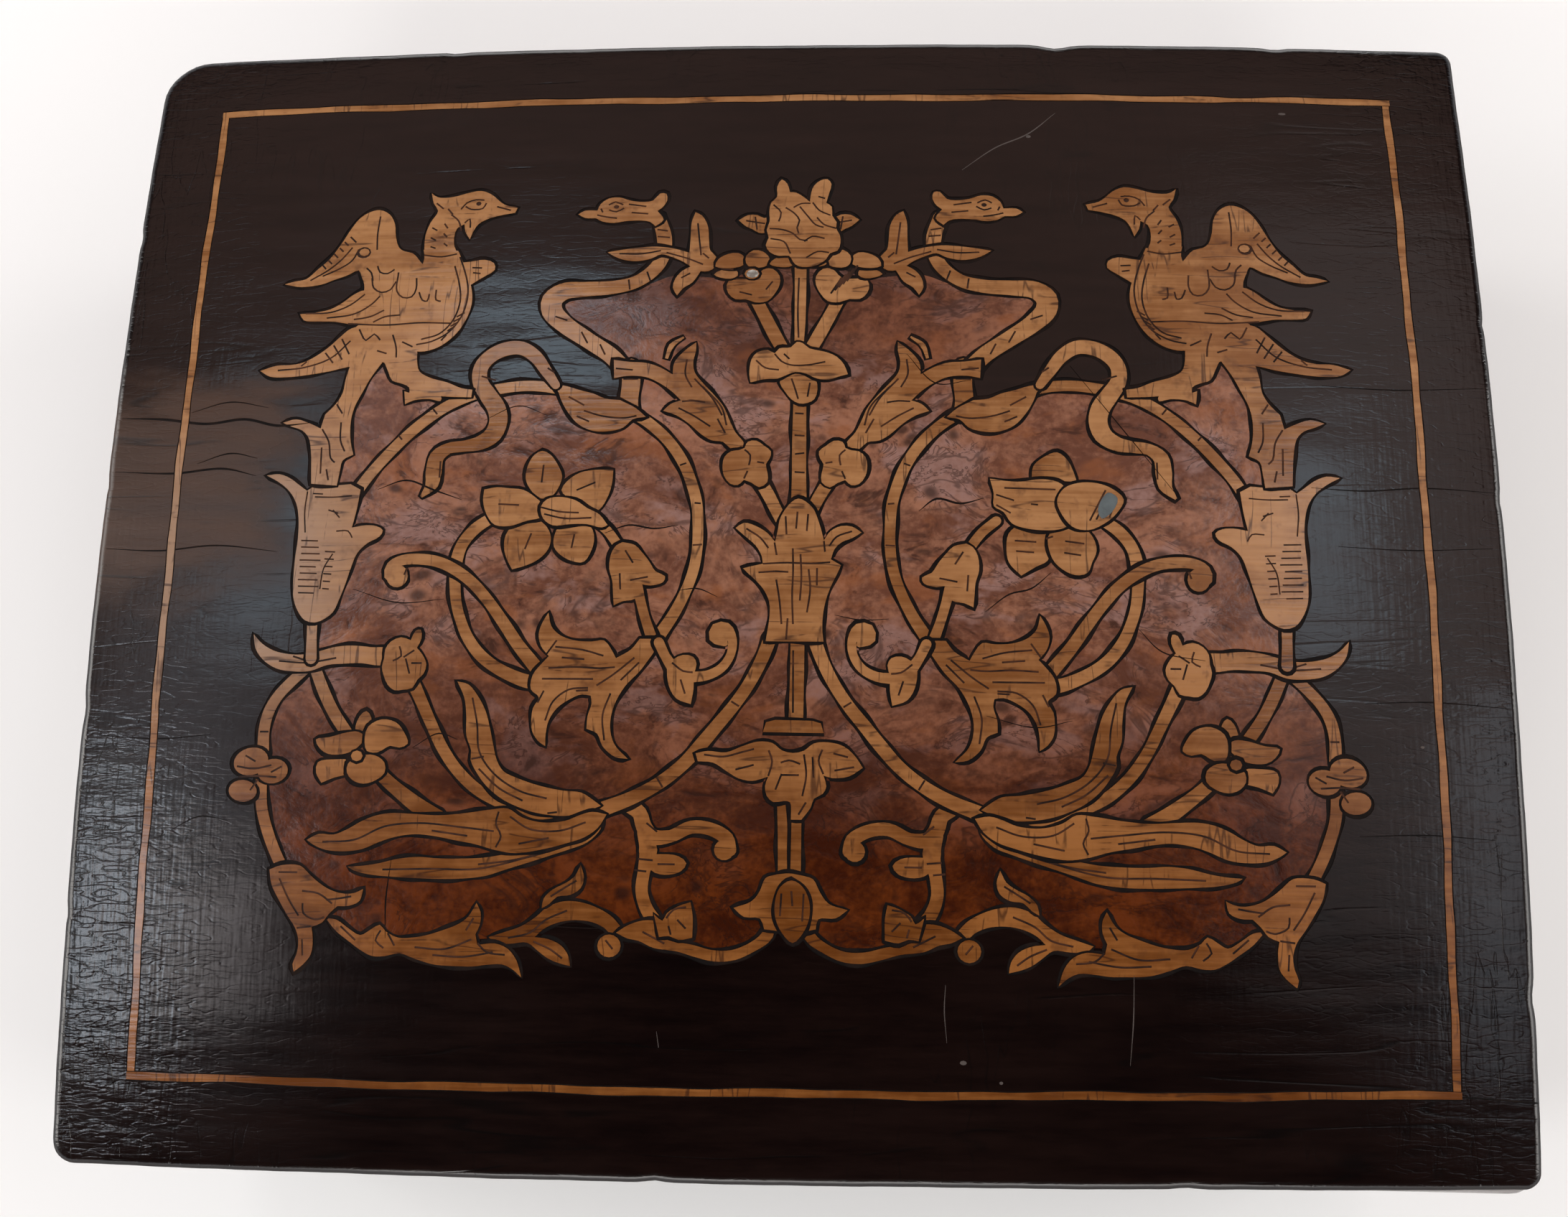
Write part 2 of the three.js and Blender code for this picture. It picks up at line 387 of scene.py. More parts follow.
drawing = {
    "axisX": 1.0,         # the pattern's middle line
    "step": 0.75,         # spacing of points on a smooth outline
    "kerf": 0.56,         # width of the dark saw cut round a light piece
    "kerfWander": 0.22,   # how much the saw cut's width changes
    "lineWidth": 0.32,    # engraved lines
    "hatchWidth": 0.36,
    "crackEnd": 0.08,     # a crack's width at both its ends
    "discStep": 0.7,
    "roundEndsFrom": 0.6,   # thinner stems end square
}


# points on a centripetal curve through an unbroken run
def curveRun(points, closed):
    pts = [np.array(p[:2], float) for p in points]
    if len(pts) == 2 and not closed:
        n = max(1, int(math.dist(pts[0], pts[1]) / drawing["step"]))
        return [pts[0] + (pts[1] - pts[0]) * i / n for i in range(n)]
    count = len(pts)
    out = []
    spans = count if closed else count - 1
    for i in range(spans):
        if closed:
            p0, p1, p2, p3 = (pts[(i + k - 1) % count] for k in range(4))
        else:
            p1, p2 = pts[i], pts[i + 1]
            p0 = pts[i - 1] if i else p1 * 2 - p2
            p3 = pts[i + 2] if i + 2 < count else p2 * 2 - p1
        gap = [max(1e-3, math.dist(a, b)) ** 0.5 for a, b in ((p0, p1), (p1, p2), (p2, p3))]
        t1 = gap[0]
        t2 = t1 + gap[1]
        t3 = t2 + gap[2]
        n = max(2, int(round(math.dist(p1, p2) / drawing["step"])))
        for k in range(n):
            t = t1 + (t2 - t1) * k / n
            a1 = p0 * (t1 - t) / t1 + p1 * t / t1
            a2 = p1 * (t2 - t) / gap[1] + p2 * (t - t1) / gap[1]
            a3 = p2 * (t3 - t) / gap[2] + p3 * (t - t2) / gap[2]
            b1 = a1 * (t2 - t) / t2 + a2 * t / t2
            b2 = a2 * (t3 - t) / (t3 - t1) + a3 * (t - t1) / (t3 - t1)
            out.append(b1 * (t2 - t) / gap[1] + b2 * (t - t1) / gap[1])
    return out


def outline(points):
    tips = [i for i, p in enumerate(points) if len(p) > 2]
    if not tips:
        return np.array(curveRun(points, True))
    turned = list(points[tips[0]:]) + list(points[:tips[0] + 1])
    out = []
    start = 0
    for i in range(1, len(turned)):
        if len(turned[i]) > 2:
            out += curveRun(turned[start:i + 1], False)
            start = i
    return np.array(out)


def stem(points, widths, roundEnds=True):
    if not isinstance(widths, (list, tuple)):
        widths = [widths] * len(points)
    pts = [np.array(p[:2], float) for p in points]
    line = np.array(curveRun(points, False) + [pts[-1]])
    # widths follow the share of the way between the given points
    marks = [int(np.argmin(np.hypot(*(line - p).T))) for p in pts]
    marks[0], marks[-1] = 0, len(line) - 1
    size = np.interp(np.arange(len(line)), marks, widths)
    ahead = np.gradient(line, axis=0)
    ahead /= np.maximum(1e-9, np.hypot(ahead[:, 0], ahead[:, 1]))[:, None]
    side = np.stack([-ahead[:, 1], ahead[:, 0]], 1)
    left = line + side * size[:, None] / 2
    right = line - side * size[:, None] / 2
    out = list(left)
    if roundEnds and size[-1] > drawing["roundEndsFrom"]:
        for a in (60, 30, 0, -30, -60):
            c, s = math.cos(math.radians(a)), math.sin(math.radians(a))
            out.append(line[-1] + (ahead[-1] * c + side[-1] * s) * size[-1] / 2)
    out += list(right[::-1])
    if roundEnds and size[0] > drawing["roundEndsFrom"]:
        for a in (-60, -30, 0, 30, 60):
            c, s = math.cos(math.radians(a)), math.sin(math.radians(a))
            out.append(line[0] + (-ahead[0] * c + side[0] * s) * size[0] / 2)
    return np.array(out)


def disc(x, y, across, down=None, turn=0):
    down = down or across
    count = max(8, int(math.pi * (across + down) / 2 / drawing["discStep"]))
    out = []
    for i in range(count):
        a = 2 * math.pi * i / count
        u, v = across / 2 * math.cos(a), down / 2 * math.sin(a)
        c, s = math.cos(math.radians(turn)), math.sin(math.radians(turn))
        out.append((x + u * c - v * s, y + u * s + v * c))
    return np.array(out)


def mirrored(shape):
    return np.stack([2 * drawing["axisX"] - shape[:, 0], shape[:, 1]], 1)[::-1]


def turnArea(shape):
    x, y = shape[:, 0], shape[:, 1]
    return 0.5 * float(np.sum(x * np.roll(y, -1) - y * np.roll(x, -1)))


# the outline moved outwards, a little unevenly, as a saw cut is
def grown(shape, amount, seed):
    if turnArea(shape) < 0:
        shape = shape[::-1]
    ahead = np.roll(shape, -1, 0) - np.roll(shape, 1, 0)
    ahead /= np.maximum(1e-9, np.hypot(ahead[:, 0], ahead[:, 1]))[:, None]
    out = np.stack([ahead[:, 1], -ahead[:, 0]], 1)
    way = np.cumsum(np.hypot(*(shape - np.roll(shape, 1, 0)).T))
    wander = np.sin(way * 0.9 + seed) + np.sin(way * 0.37 + 2.1 * seed)
    return shape + out * (amount + drawing["kerfWander"] * 0.5 * wander)[:, None]


# cuts in the order they are laid: later ones lie over earlier ones
class Pattern:
    def __init__(self):
        self.cuts = []  # (wood, outline, group)
        self.group = 0

    def light(self, *shapes, mirror=True, lines=(), lineWidth=None):
        sides = [False, True] if mirror else [False]
        for flip in sides:
            self.group += 1
            here = [mirrored(s) if flip else s for s in shapes]
            for k, s in enumerate(here):
                self.cuts.append(("kerf", grown(s, drawing["kerf"], self.group + k), self.group))
            for s in here:
                self.cuts.append(("light", s, self.group))
            self.group += 1
            for points in lines:
                s = stem(points, lineWidth or drawing["lineWidth"], False)
                self.cuts.append(("line", mirrored(s) if flip else s, self.group))

    def burr(self, shape, mirror=True):
        for flip in ([False, True] if mirror else [False]):
            self.group += 1
            self.plain("burr", mirrored(shape) if flip else shape)

    # shapes with no saw cut of their own
    def plain(self, wood, *shapes):
        for shape in shapes:
            self.cuts.append((wood, shape, self.group))

    def engrave(self, lines, width=drawing["lineWidth"]):
        self.plain("line", *(stem(points, width, False) for points in lines))


def drawBurrPanels(p):
    p.burr(outline([
        (1.2, 55), (-5, 53), (-11, 50.5), (-16, 50.8), (-21, 51), (-26, 49.2), (-33, 48.2), (-39, 48),
        (-42.4, 46.5), (-41, 43), (-36, 39), (-31, 35.5), (-28.5, 33.5), (-28, 27.5), (-34, 27),
        (-40, 29.5), (-47, 30), (-55, 29), (-62, 29.5), (-67, 30.3), (-71, 33.5), (-72.5, 35), (-75.5, 31),
        (-78, 25), (-79.5, 18), (-80, 10), (-81, 0), (-80.5, -8), (-80.8, -15), (-83.5, -21.5),
        (-86.8, -27), (-87.3, -34), (-87.2, -42), (-85, -49), (-82, -54), (-77, -59), (-72, -62.5),
        (-65, -64.5), (-57, -65), (-50, -64), (-44, -63.3), (-39, -60.8), (-34, -59), (-29.5, -60),
        (-26, -62.2), (-20, -63), (-15, -65), (-9, -66), (-4, -64), (1.2, -61, tip), (1.2, 55, tip),
    ]), mirror=True)


def drawBird(p):
    wing = outline([
        (-91.5, 50.8, tip), (-89.6, 51.3), (-87.6, 51.7), (-85.6, 53.6), (-83.6, 55.6), (-81.7, 58.7),
        (-80.2, 61.6), (-78.8, 63.7), (-77.1, 64.9), (-75.2, 65.3), (-73.3, 64.3), (-72.2, 62.4),
        (-71.8, 59.9), (-71, 57.6), (-70, 56.8), (-68.3, 56.3), (-66.7, 54.5), (-65, 52), (-66, 47),
        (-72, 47), (-76.6, 48.4, tip), (-76.7, 50.3), (-77.4, 52), (-78, 53.2), (-80.2, 52.2),
        (-82.5, 51.4), (-84.6, 50.6), (-88.4, 50.2),
    ])
    upperTail = outline([
        (-88, 44.8, tip), (-85.4, 45), (-82.5, 45.6), (-80.4, 46.8), (-78.4, 48.4), (-76.5, 49.2),
        (-72, 48), (-68, 44), (-72, 42), (-75, 42.3), (-78.3, 42.6), (-81.7, 43.2), (-85, 43.3),
        (-87.2, 43.6),
    ])
    lowerTail = outline([
        (-94.2, 34, tip), (-91.3, 34.9), (-88.5, 35), (-86.5, 35.4), (-84.2, 36.6), (-82, 38.3),
        (-80, 40.3), (-78.2, 41.8), (-74, 42), (-70, 39), (-73, 35), (-78.2, 34.4), (-81.3, 33.7),
        (-85, 33.1), (-89, 32.7), (-92.4, 32.9),
    ])
    leg = outline([
        (-82.9, 12.8, tip), (-83.1, 15.3), (-83.4, 18.3), (-84.1, 21.2), (-85.4, 22.6), (-87.5, 23.4),
        (-89, 24.1, tip), (-86.7, 24.7), (-84.2, 23.9), (-82.1, 22.9, tip), (-81.5, 25.5, tip),
        (-79.7, 27.5), (-78.7, 29.5), (-78.4, 32), (-77.6, 35.5, tip), (-71.5, 36, tip), (-73.8, 32.4),
        (-75, 29.9), (-76.4, 26.6), (-76.8, 23.7), (-76.5, 20.4), (-75.8, 18, tip), (-77.6, 17),
        (-78, 14.8), (-78.3, 12.4, tip),
    ])
    breastTab = outline([
        (-59.5, 54.2, tip), (-57.5, 54.4), (-55, 54.7), (-53.3, 54), (-53.1, 52.7), (-54.6, 51.6),
        (-56, 50.7), (-57.6, 49.6, tip),
    ])
    body = outline([
        (-66.4, 57, tip), (-60, 56.6, tip), (-58.7, 53.7), (-57.5, 50.7), (-56.8, 47.8), (-56.9, 45.3),
        (-57.9, 42.4), (-59.6, 39.9), (-62.1, 37.9), (-64.6, 37.1), (-65.9, 37.1, tip), (-65.8, 35.3),
        (-65.2, 33.3), (-63.3, 32.1), (-60, 31.1), (-57.4, 30), (-55.5, 29.7, tip), (-55.6, 28.3, tip),
        (-60, 28.5), (-63.5, 28.9), (-66.7, 29, tip), (-66.8, 30.3), (-68, 31), (-70, 31.7), (-70.8, 33.3),
        (-71.6, 35, tip), (-74, 36.2), (-77, 36.8), (-78.4, 39), (-77.8, 41.6), (-76.2, 43.2),
        (-75.2, 45.6), (-75.6, 48.2), (-74.4, 50), (-71.4, 50.6), (-68.6, 51.8), (-66.6, 53.6),
        (-66.1, 55.2),
    ])
    headAndNeck = outline([
        (-65.9, 68.5, tip), (-65.2, 67.9), (-64.2, 67.5), (-61.7, 67.6), (-59.2, 68.3), (-56.7, 68.7),
        (-54.6, 67.8), (-53.3, 66.6), (-52.1, 65.7), (-49.8, 65.1, tip), (-50.2, 64.1, tip), (-52.9, 63.6),
        (-55, 63), (-56.7, 62), (-57.5, 60.7), (-58.1, 58.9, tip), (-59, 60.4), (-59.3, 62, tip),
        (-60.6, 61.2), (-61, 59.5), (-60.8, 57.5), (-60, 56, tip), (-63, 55.8), (-66.1, 56, tip),
        (-66.3, 57.4), (-66.3, 59.9), (-65.6, 62.4), (-64.4, 64.8), (-65.3, 66.3),
    ])
    claw = outline([(-67.6, 29.6, tip), (-66.4, 29.2), (-61, 28.6), (-61, 27.7), (-63, 28.1), (-65.8, 27.9),
                    (-67.3, 27.2, tip)])
    p.light(wing, upperTail, lowerTail, leg, breastTab, body, headAndNeck, claw, lines=[
        # breast, double line
        [(-59.6, 55.4), (-58.6, 52.8), (-57.8, 50), (-57.6, 47.4), (-58.4, 43.8), (-60.4, 40.8),
         (-63.4, 39), (-66.2, 38.4)],
        [(-60.4, 53.6), (-59.3, 50), (-58.9, 46.6), (-59.9, 43), (-62.2, 40.4), (-65.4, 39.4)],
        # crack across the body and the seam at the neck
        [(-79, 42.7), (-72, 42.3), (-66, 42.6), (-60.2, 42.4)], [(-66.2, 55.9), (-63, 55.5), (-60.2, 56)],
        # feathers at the root of the wing
        [(-70.6, 52.6), (-70.6, 48.9), (-69.4, 47.6), (-67.8, 47.7), (-67.1, 49.2), (-67.2, 51.4)],
        [(-66.5, 48.6), (-65.8, 47), (-64.9, 46.8), (-64.6, 48.2)],
        [(-63.4, 49), (-63.3, 47), (-62.4, 46.7)],
        [(-75.4, 51.6), (-74.9, 49.6), (-73.4, 48.7), (-71.8, 49.2), (-70.9, 50.8)],
        [(-74.6, 54), (-74, 52.7), (-72.6, 52.4), (-71.4, 53.2)],
        [(-76.6, 53.6), (-75.6, 52.6), (-75.2, 51)],
        # long feathers of the wing
        [(-86.8, 51.4), (-83.6, 53.4), (-81.4, 55.4), (-79.6, 57.8)],
        [(-84.6, 52.2), (-81.6, 53.6), (-79.4, 55.2), (-78.4, 57.4)],
        [(-75, 64), (-75.2, 60.4), (-75, 57.2)], [(-80.2, 60), (-79, 58.8)], [(-83.9, 55.4), (-83.1, 54.6)],
        [(-84.8, 54.4), (-84.1, 53.6)], [(-82.9, 56.6), (-82.1, 55.8)], [(-82, 57.8), (-81.2, 57)],
        [(-81.2, 59), (-80.4, 58.2)],
        # tail feathers
        [(-87, 44.9), (-82.4, 45), (-79, 46.3), (-76.4, 48.4)],
        [(-83, 43.9), (-78, 44.6), (-75, 46.4), (-73.6, 48)], [(-78, 43.5), (-75, 44), (-72.6, 45.2)],
        [(-74.4, 42.9), (-72.4, 43.9), (-69.6, 44.2)],
        [(-91, 34), (-86, 34.5), (-81.4, 36.2), (-78.2, 39.4)], [(-86.8, 34.7), (-85.8, 35.6)],
        [(-82.6, 37.2), (-81, 35.2)], [(-81.2, 38.6), (-79.4, 35.8)], [(-79.8, 39.8), (-78.2, 36.8)],
        [(-76.8, 41.6), (-75.4, 39.4), (-74, 40.6), (-72.8, 39.4)],
        [(-70.6, 40.4), (-69.8, 38), (-69.6, 36)], [(-68.8, 39), (-66.8, 38)],
        [(-73.2, 37.4), (-71.4, 36.8)],
        # head and neck
        [(-60.2, 65), (-59.2, 66.3), (-57.6, 66.9), (-56, 66.8)],
        [(-59.4, 65.6), (-58.4, 65), (-56.2, 65.1), (-55.6, 66.2)],
        [(-61.9, 64), (-60.4, 62.6), (-59.8, 60.6)], [(-59.3, 62.2), (-58.4, 63), (-58.2, 61.2)],
        [(-53.6, 65.4), (-51, 64.6)], [(-64.8, 66.4), (-63.4, 65.2)], [(-65.2, 61.4), (-64.2, 60.8)],
        [(-65.3, 59.4), (-64.3, 58.8)], [(-65.2, 57.6), (-64.2, 57.2)], [(-63, 62.2), (-62.3, 61.2)],
        [(-63, 60.2), (-62.3, 59.4)], [(-62.8, 58.2), (-62.1, 57.6)], [(-62.6, 65.2), (-61.6, 64)],
        # leg and its leaf
        [(-81.8, 22.8), (-80.4, 20.4), (-79.8, 17.4), (-79, 16.6)],
        [(-78.5, 24), (-78.3, 20.6), (-77.4, 18.6)], [(-81.6, 19.4), (-81.4, 14.6)],
        [(-79.6, 27.4), (-78.4, 25.6)], [(-57.2, 53.2), (-55.4, 53.1)], [(-57, 52.2), (-55.6, 52)],
        [(-80.4, 15.4), (-79.9, 13.4)],
    ] + [[(-57.9 - 0.6 * i, 44.4 - 1.0 * i + 0.03 * i * i),
          (-59.3 - 0.5 * i, 43.6 - 0.9 * i)] for i in range(6)])
    for eye in (disc(-57, 66.1, 1.0, 0.9), disc(-77.4, 56.7, 2.7, 2.3)):
        p.plain("line", eye, mirrored(eye))
    bead = disc(-77.3, 56.8, 1.9, 1.5)
    p.plain("light", bead, mirrored(bead))


def drawSerpent(p):
    neck = stem([(-24, 62.4), (-22.9, 58.6), (-22.9, 55.4), (-24.2, 52.6), (-27.4, 50), (-31.5, 48.9),
                 (-36.5, 48.6), (-40.4, 48.2), (-42.3, 46.6), (-42.2, 44.4), (-39.8, 41.8), (-35.6, 38.8),
                 (-31.6, 36), (-29.2, 33.6)],
                [2.4, 2.7, 2.5, 2.4, 2.3, 2.5, 2.8, 3.3, 3.8, 3.7, 3.2, 2.9, 2.9, 2.9])
    p.light(neck, lines=[
        [(-24.2, 60.2), (-22.3, 59.9)], [(-24.1, 58.8), (-21.9, 58.6)],
        [(-25.7, 51.9), (-25, 50)], [(-28.9, 50.4), (-28.6, 48.4)],
        [(-41.6, 43.4), (-39.4, 42.6)], [(-36.8, 40.4), (-35.6, 38.2)], [(-33.4, 38), (-32.4, 36)],
    ])
    head = outline([
        (-38.6, 63.5, tip), (-37.5, 64.2), (-35.2, 64.2, tip), (-34.7, 65.5), (-33.3, 66.6), (-31.3, 66.8),
        (-29.2, 66.1), (-26.7, 65.8), (-25.2, 66.1), (-24, 67.5), (-22.9, 67.4), (-22.7, 66.1),
        (-23.4, 64.8), (-24.4, 64, tip), (-23.2, 62.2), (-24.6, 60.9, tip), (-25.6, 61.8), (-27.2, 62.1),
        (-30, 62), (-32.1, 61.7), (-34.2, 62), (-35.4, 62.7, tip), (-37.4, 62.8),
    ])
    p.light(head, lines=[
        [(-33.2, 65.3), (-32, 65.9), (-30.6, 65.3)], [(-33.1, 64.3), (-31.8, 63.9), (-30.4, 64.6)],
        [(-35.2, 63.3), (-33.6, 62.9), (-31.6, 62.6)], [(-29.6, 65.4), (-26.4, 64.9)],
        [(-29, 63.7), (-26, 63.4)], [(-34.6, 64.6), (-34.2, 63.8)],
    ])
    eye = disc(-31.8, 64.9, 1.0, 0.8)
    p.plain("line", eye, mirrored(eye))


def drawTopSprays(p):
    sprig = outline([
        (-32.9, 55.8, tip), (-30, 56.3), (-26.7, 56.7), (-24.2, 56.8), (-20.8, 56.3), (-18.3, 55.5, tip),
        (-18.2, 58.3), (-18.1, 61.6), (-17.5, 63.6, tip), (-16.3, 62.9), (-15.2, 60.8), (-14.9, 57.8),
        (-14.6, 55.9), (-13.4, 54.5), (-13.6, 52.8), (-14.8, 51.9), (-16.2, 51.9, tip), (-17.5, 49.8),
        (-19.2, 48.6), (-20.2, 47.2, tip), (-21, 48.7), (-20.6, 50.5), (-19.4, 52), (-18, 52.8, tip),
        (-19.2, 53.7), (-21.3, 54.7), (-23.3, 55.3), (-25, 54.5), (-27.5, 54), (-30, 54.3), (-31.7, 55),
    ])
    p.light(sprig, lines=[
        [(-30.8, 55.5), (-27, 55.4), (-23.4, 56)], [(-22.4, 55.6), (-18.6, 54.4), (-15.8, 53.2)],
        [(-17, 61.4), (-16.6, 58), (-16.2, 55)], [(-19.6, 50.6), (-18, 51.5)],
        [(-15.9, 55.4), (-14.8, 54.4)],
    ])
    petals = [
        [(-11.5, 49.1), (-11.2, 47.6), (-9.9, 46.4), (-8.1, 46.4), (-6.4, 45.8), (-4.3, 46), (-3.1, 47.3),
         (-2.2, 49.1), (-2.2, 50.8), (-3.4, 52.2), (-5, 52.2), (-6.8, 50.4), (-9.4, 50.3), (-10.9, 50.2)],
        [(-13.8, 51.2), (-12.4, 52.1), (-9.9, 52.1), (-9.6, 51), (-10.8, 50.4), (-12.6, 50.6)],
        [(-13.6, 52.8), (-13.1, 54.2), (-11.4, 55.2), (-9.6, 55.4), (-8.4, 54.4), (-8.6, 53.1),
         (-10.2, 52.5), (-12, 52.4)],
        [(-8.2, 53.4), (-8.2, 54.8), (-6.9, 55.9), (-5.2, 55.6), (-4.1, 54.4), (-4.4, 53), (-5.8, 52.5),
         (-7.4, 52.6)],
    ]
    for petal in petals:
        p.light(outline(petal))
    p.light(disc(-7.1, 51.3, 2.6, 2.0), mirror=False)
    p.group += 1
    p.plain("pearl", disc(-7.0, 51.3, 2.2, 1.6))
    hatching = [[(6.8 + 0.7 * k, 47.4 + 0.6 * k), (8.7 + 0.7 * k, 50.5 + 0.6 * k)] for k in range(5)]
    p.engrave(hatching, drawing["hatchWidth"])
    p.engrave([[(-12.6, 52.3), (-10.4, 52.2)], [(-9.2, 47.8), (-7, 47.2)], [(-3.4, 49.8), (-4.6, 48.2)]])
    p.light(outline([(-4, 53.2), (-2.6, 54.5), (0, 54.4), (0, 52.9), (-2, 52.6)]))


def drawTopStems(p):
    p.light(stem([(-6.3, 46.4), (-4.6, 43), (-2.9, 39.6), (-1.2, 36.4)], [2.1, 2.2, 2.3, 2.2]))
    p.light(stem([(1.4, 55), (1.5, 48), (1.5, 42), (1.4, 37)], [2.1, 2.0, 1.9, 1.5]), mirror=False, lines=[
        [(1.2, 50.5), (1.1, 44), (1.3, 39)],
    ])


def drawRose(p):
    p.light(outline([
        (-3.6, 62.8, tip), (-5.2, 62.3), (-6.4, 62.9), (-8.1, 62.9), (-9.7, 61.9, tip), (-8.4, 60.7),
        (-7.2, 60.1), (-6.1, 59.4), (-4.9, 59.4), (-3.4, 60.2, tip),
    ]), lines=[[(-8.4, 61.8), (-5, 61.2)], [(-6.8, 62.6), (-6.4, 60)]])
    p.light(outline([
        (1, 52.8), (0.1, 53.6), (-0.6, 54.8), (-2.4, 54.8), (-4, 55.5), (-4.8, 56.9), (-4.3, 58.4),
        (-4.7, 59.9), (-4.2, 61.6), (-4.3, 63.6), (-4, 65.4), (-3, 66.5), (-3, 68.6), (-2.2, 70.1),
        (-1.2, 69.2), (-0.7, 67.5, tip), (0.4, 67.4), (1.9, 66.4), (2.9, 65.5, tip), (3.1, 67.3),
        (3.6, 68.8), (4.8, 69.9), (6, 70.1), (6.7, 69.1), (6.3, 67.3), (5.8, 65.3, tip), (6.8, 64.5),
        (6.9, 62.7), (7.7, 61.4), (7.6, 60.2), (8.3, 58.8), (8.4, 57.2), (7.9, 55.8), (6.6, 55.3),
        (5.9, 54.1), (4.4, 53), (2.6, 52.6),
    ]), mirror=False, lines=[
        [(-4.2, 60.2), (-2, 60), (0, 59.2), (1.2, 58), (2.6, 57.8)],
        [(-1.4, 64.4), (0.2, 63.2), (1.1, 61.8), (0.7, 60.4), (1, 59.2)],
        [(1.1, 64.6), (2.6, 62.6), (4, 60.9), (5.4, 60.4)], [(3.4, 65.4), (4.6, 63.8), (6.6, 62.8)],
        [(0, 64.4), (1.4, 65.2), (3, 65.2)], [(7.6, 60.2), (5.4, 61), (4.2, 62.4)],
        [(-3.6, 65), (-2.2, 63.4), (-2.6, 61.6)], [(-4, 58.2), (-1.6, 57.6), (-0.4, 55.2)],
        [(6.4, 55.4), (4.4, 55.6), (2.4, 54.4)], [(4.4, 66.6), (5.6, 66.2)],
        [(2, 57.6), (3.4, 58.6), (5.6, 58.2)],
    ])


def drawBellFlower(p):
    p.light(stem([(1.7, 27.5), (1.7, 20), (1.75, 14), (1.8, 9)], [2.2, 2.4, 2.4, 2.6]), mirror=False,
            lines=[
        [(0.9, 21), (2.6, 20.9)], [(1, 17.6), (2.6, 17.8)], [(1, 14.4), (2.7, 14.3)],
        [(0.9, 25), (2.4, 24.9)],
    ])
    p.light(outline([
        (-1.8, 30.6), (-0.9, 29), (0.2, 27.6), (1.6, 26.8), (3, 26.9), (4.2, 27.6), (4.7, 29.4),
        (4.4, 31.2), (3, 33), (0.2, 33.2), (-1.4, 32.2),
    ]), mirror=False, lines=[[(3.4, 30.6), (3, 28)], [(0.2, 31.4), (1, 29), (1.4, 27.6)]])
    p.light(outline([
        (-6.9, 30.7, tip), (-7.1, 32.2), (-6.8, 34.9), (-5.9, 36.2), (-4, 36.7), (-2.8, 36.1), (-2, 37),
        (0, 37.2), (1, 38.2), (2, 38), (3.2, 37), (4.8, 36.6), (6.4, 36.2), (8, 35.4), (9.2, 34),
        (9.9, 32.2, tip), (8.4, 31.8), (6.6, 31.2), (4.6, 31.4), (2.4, 32.4), (0.8, 32.6), (-0.8, 32),
        (-2.2, 31.4), (-4.3, 31.3),
    ]), mirror=False, lines=[
        [(-2.8, 36), (-1.6, 34.6), (0, 33.9), (3, 33.9), (6, 34.5)], [(-1.2, 36), (-0.2, 35)],
        [(-6, 34.8), (-4.4, 33.4), (-2, 33)],
    ])


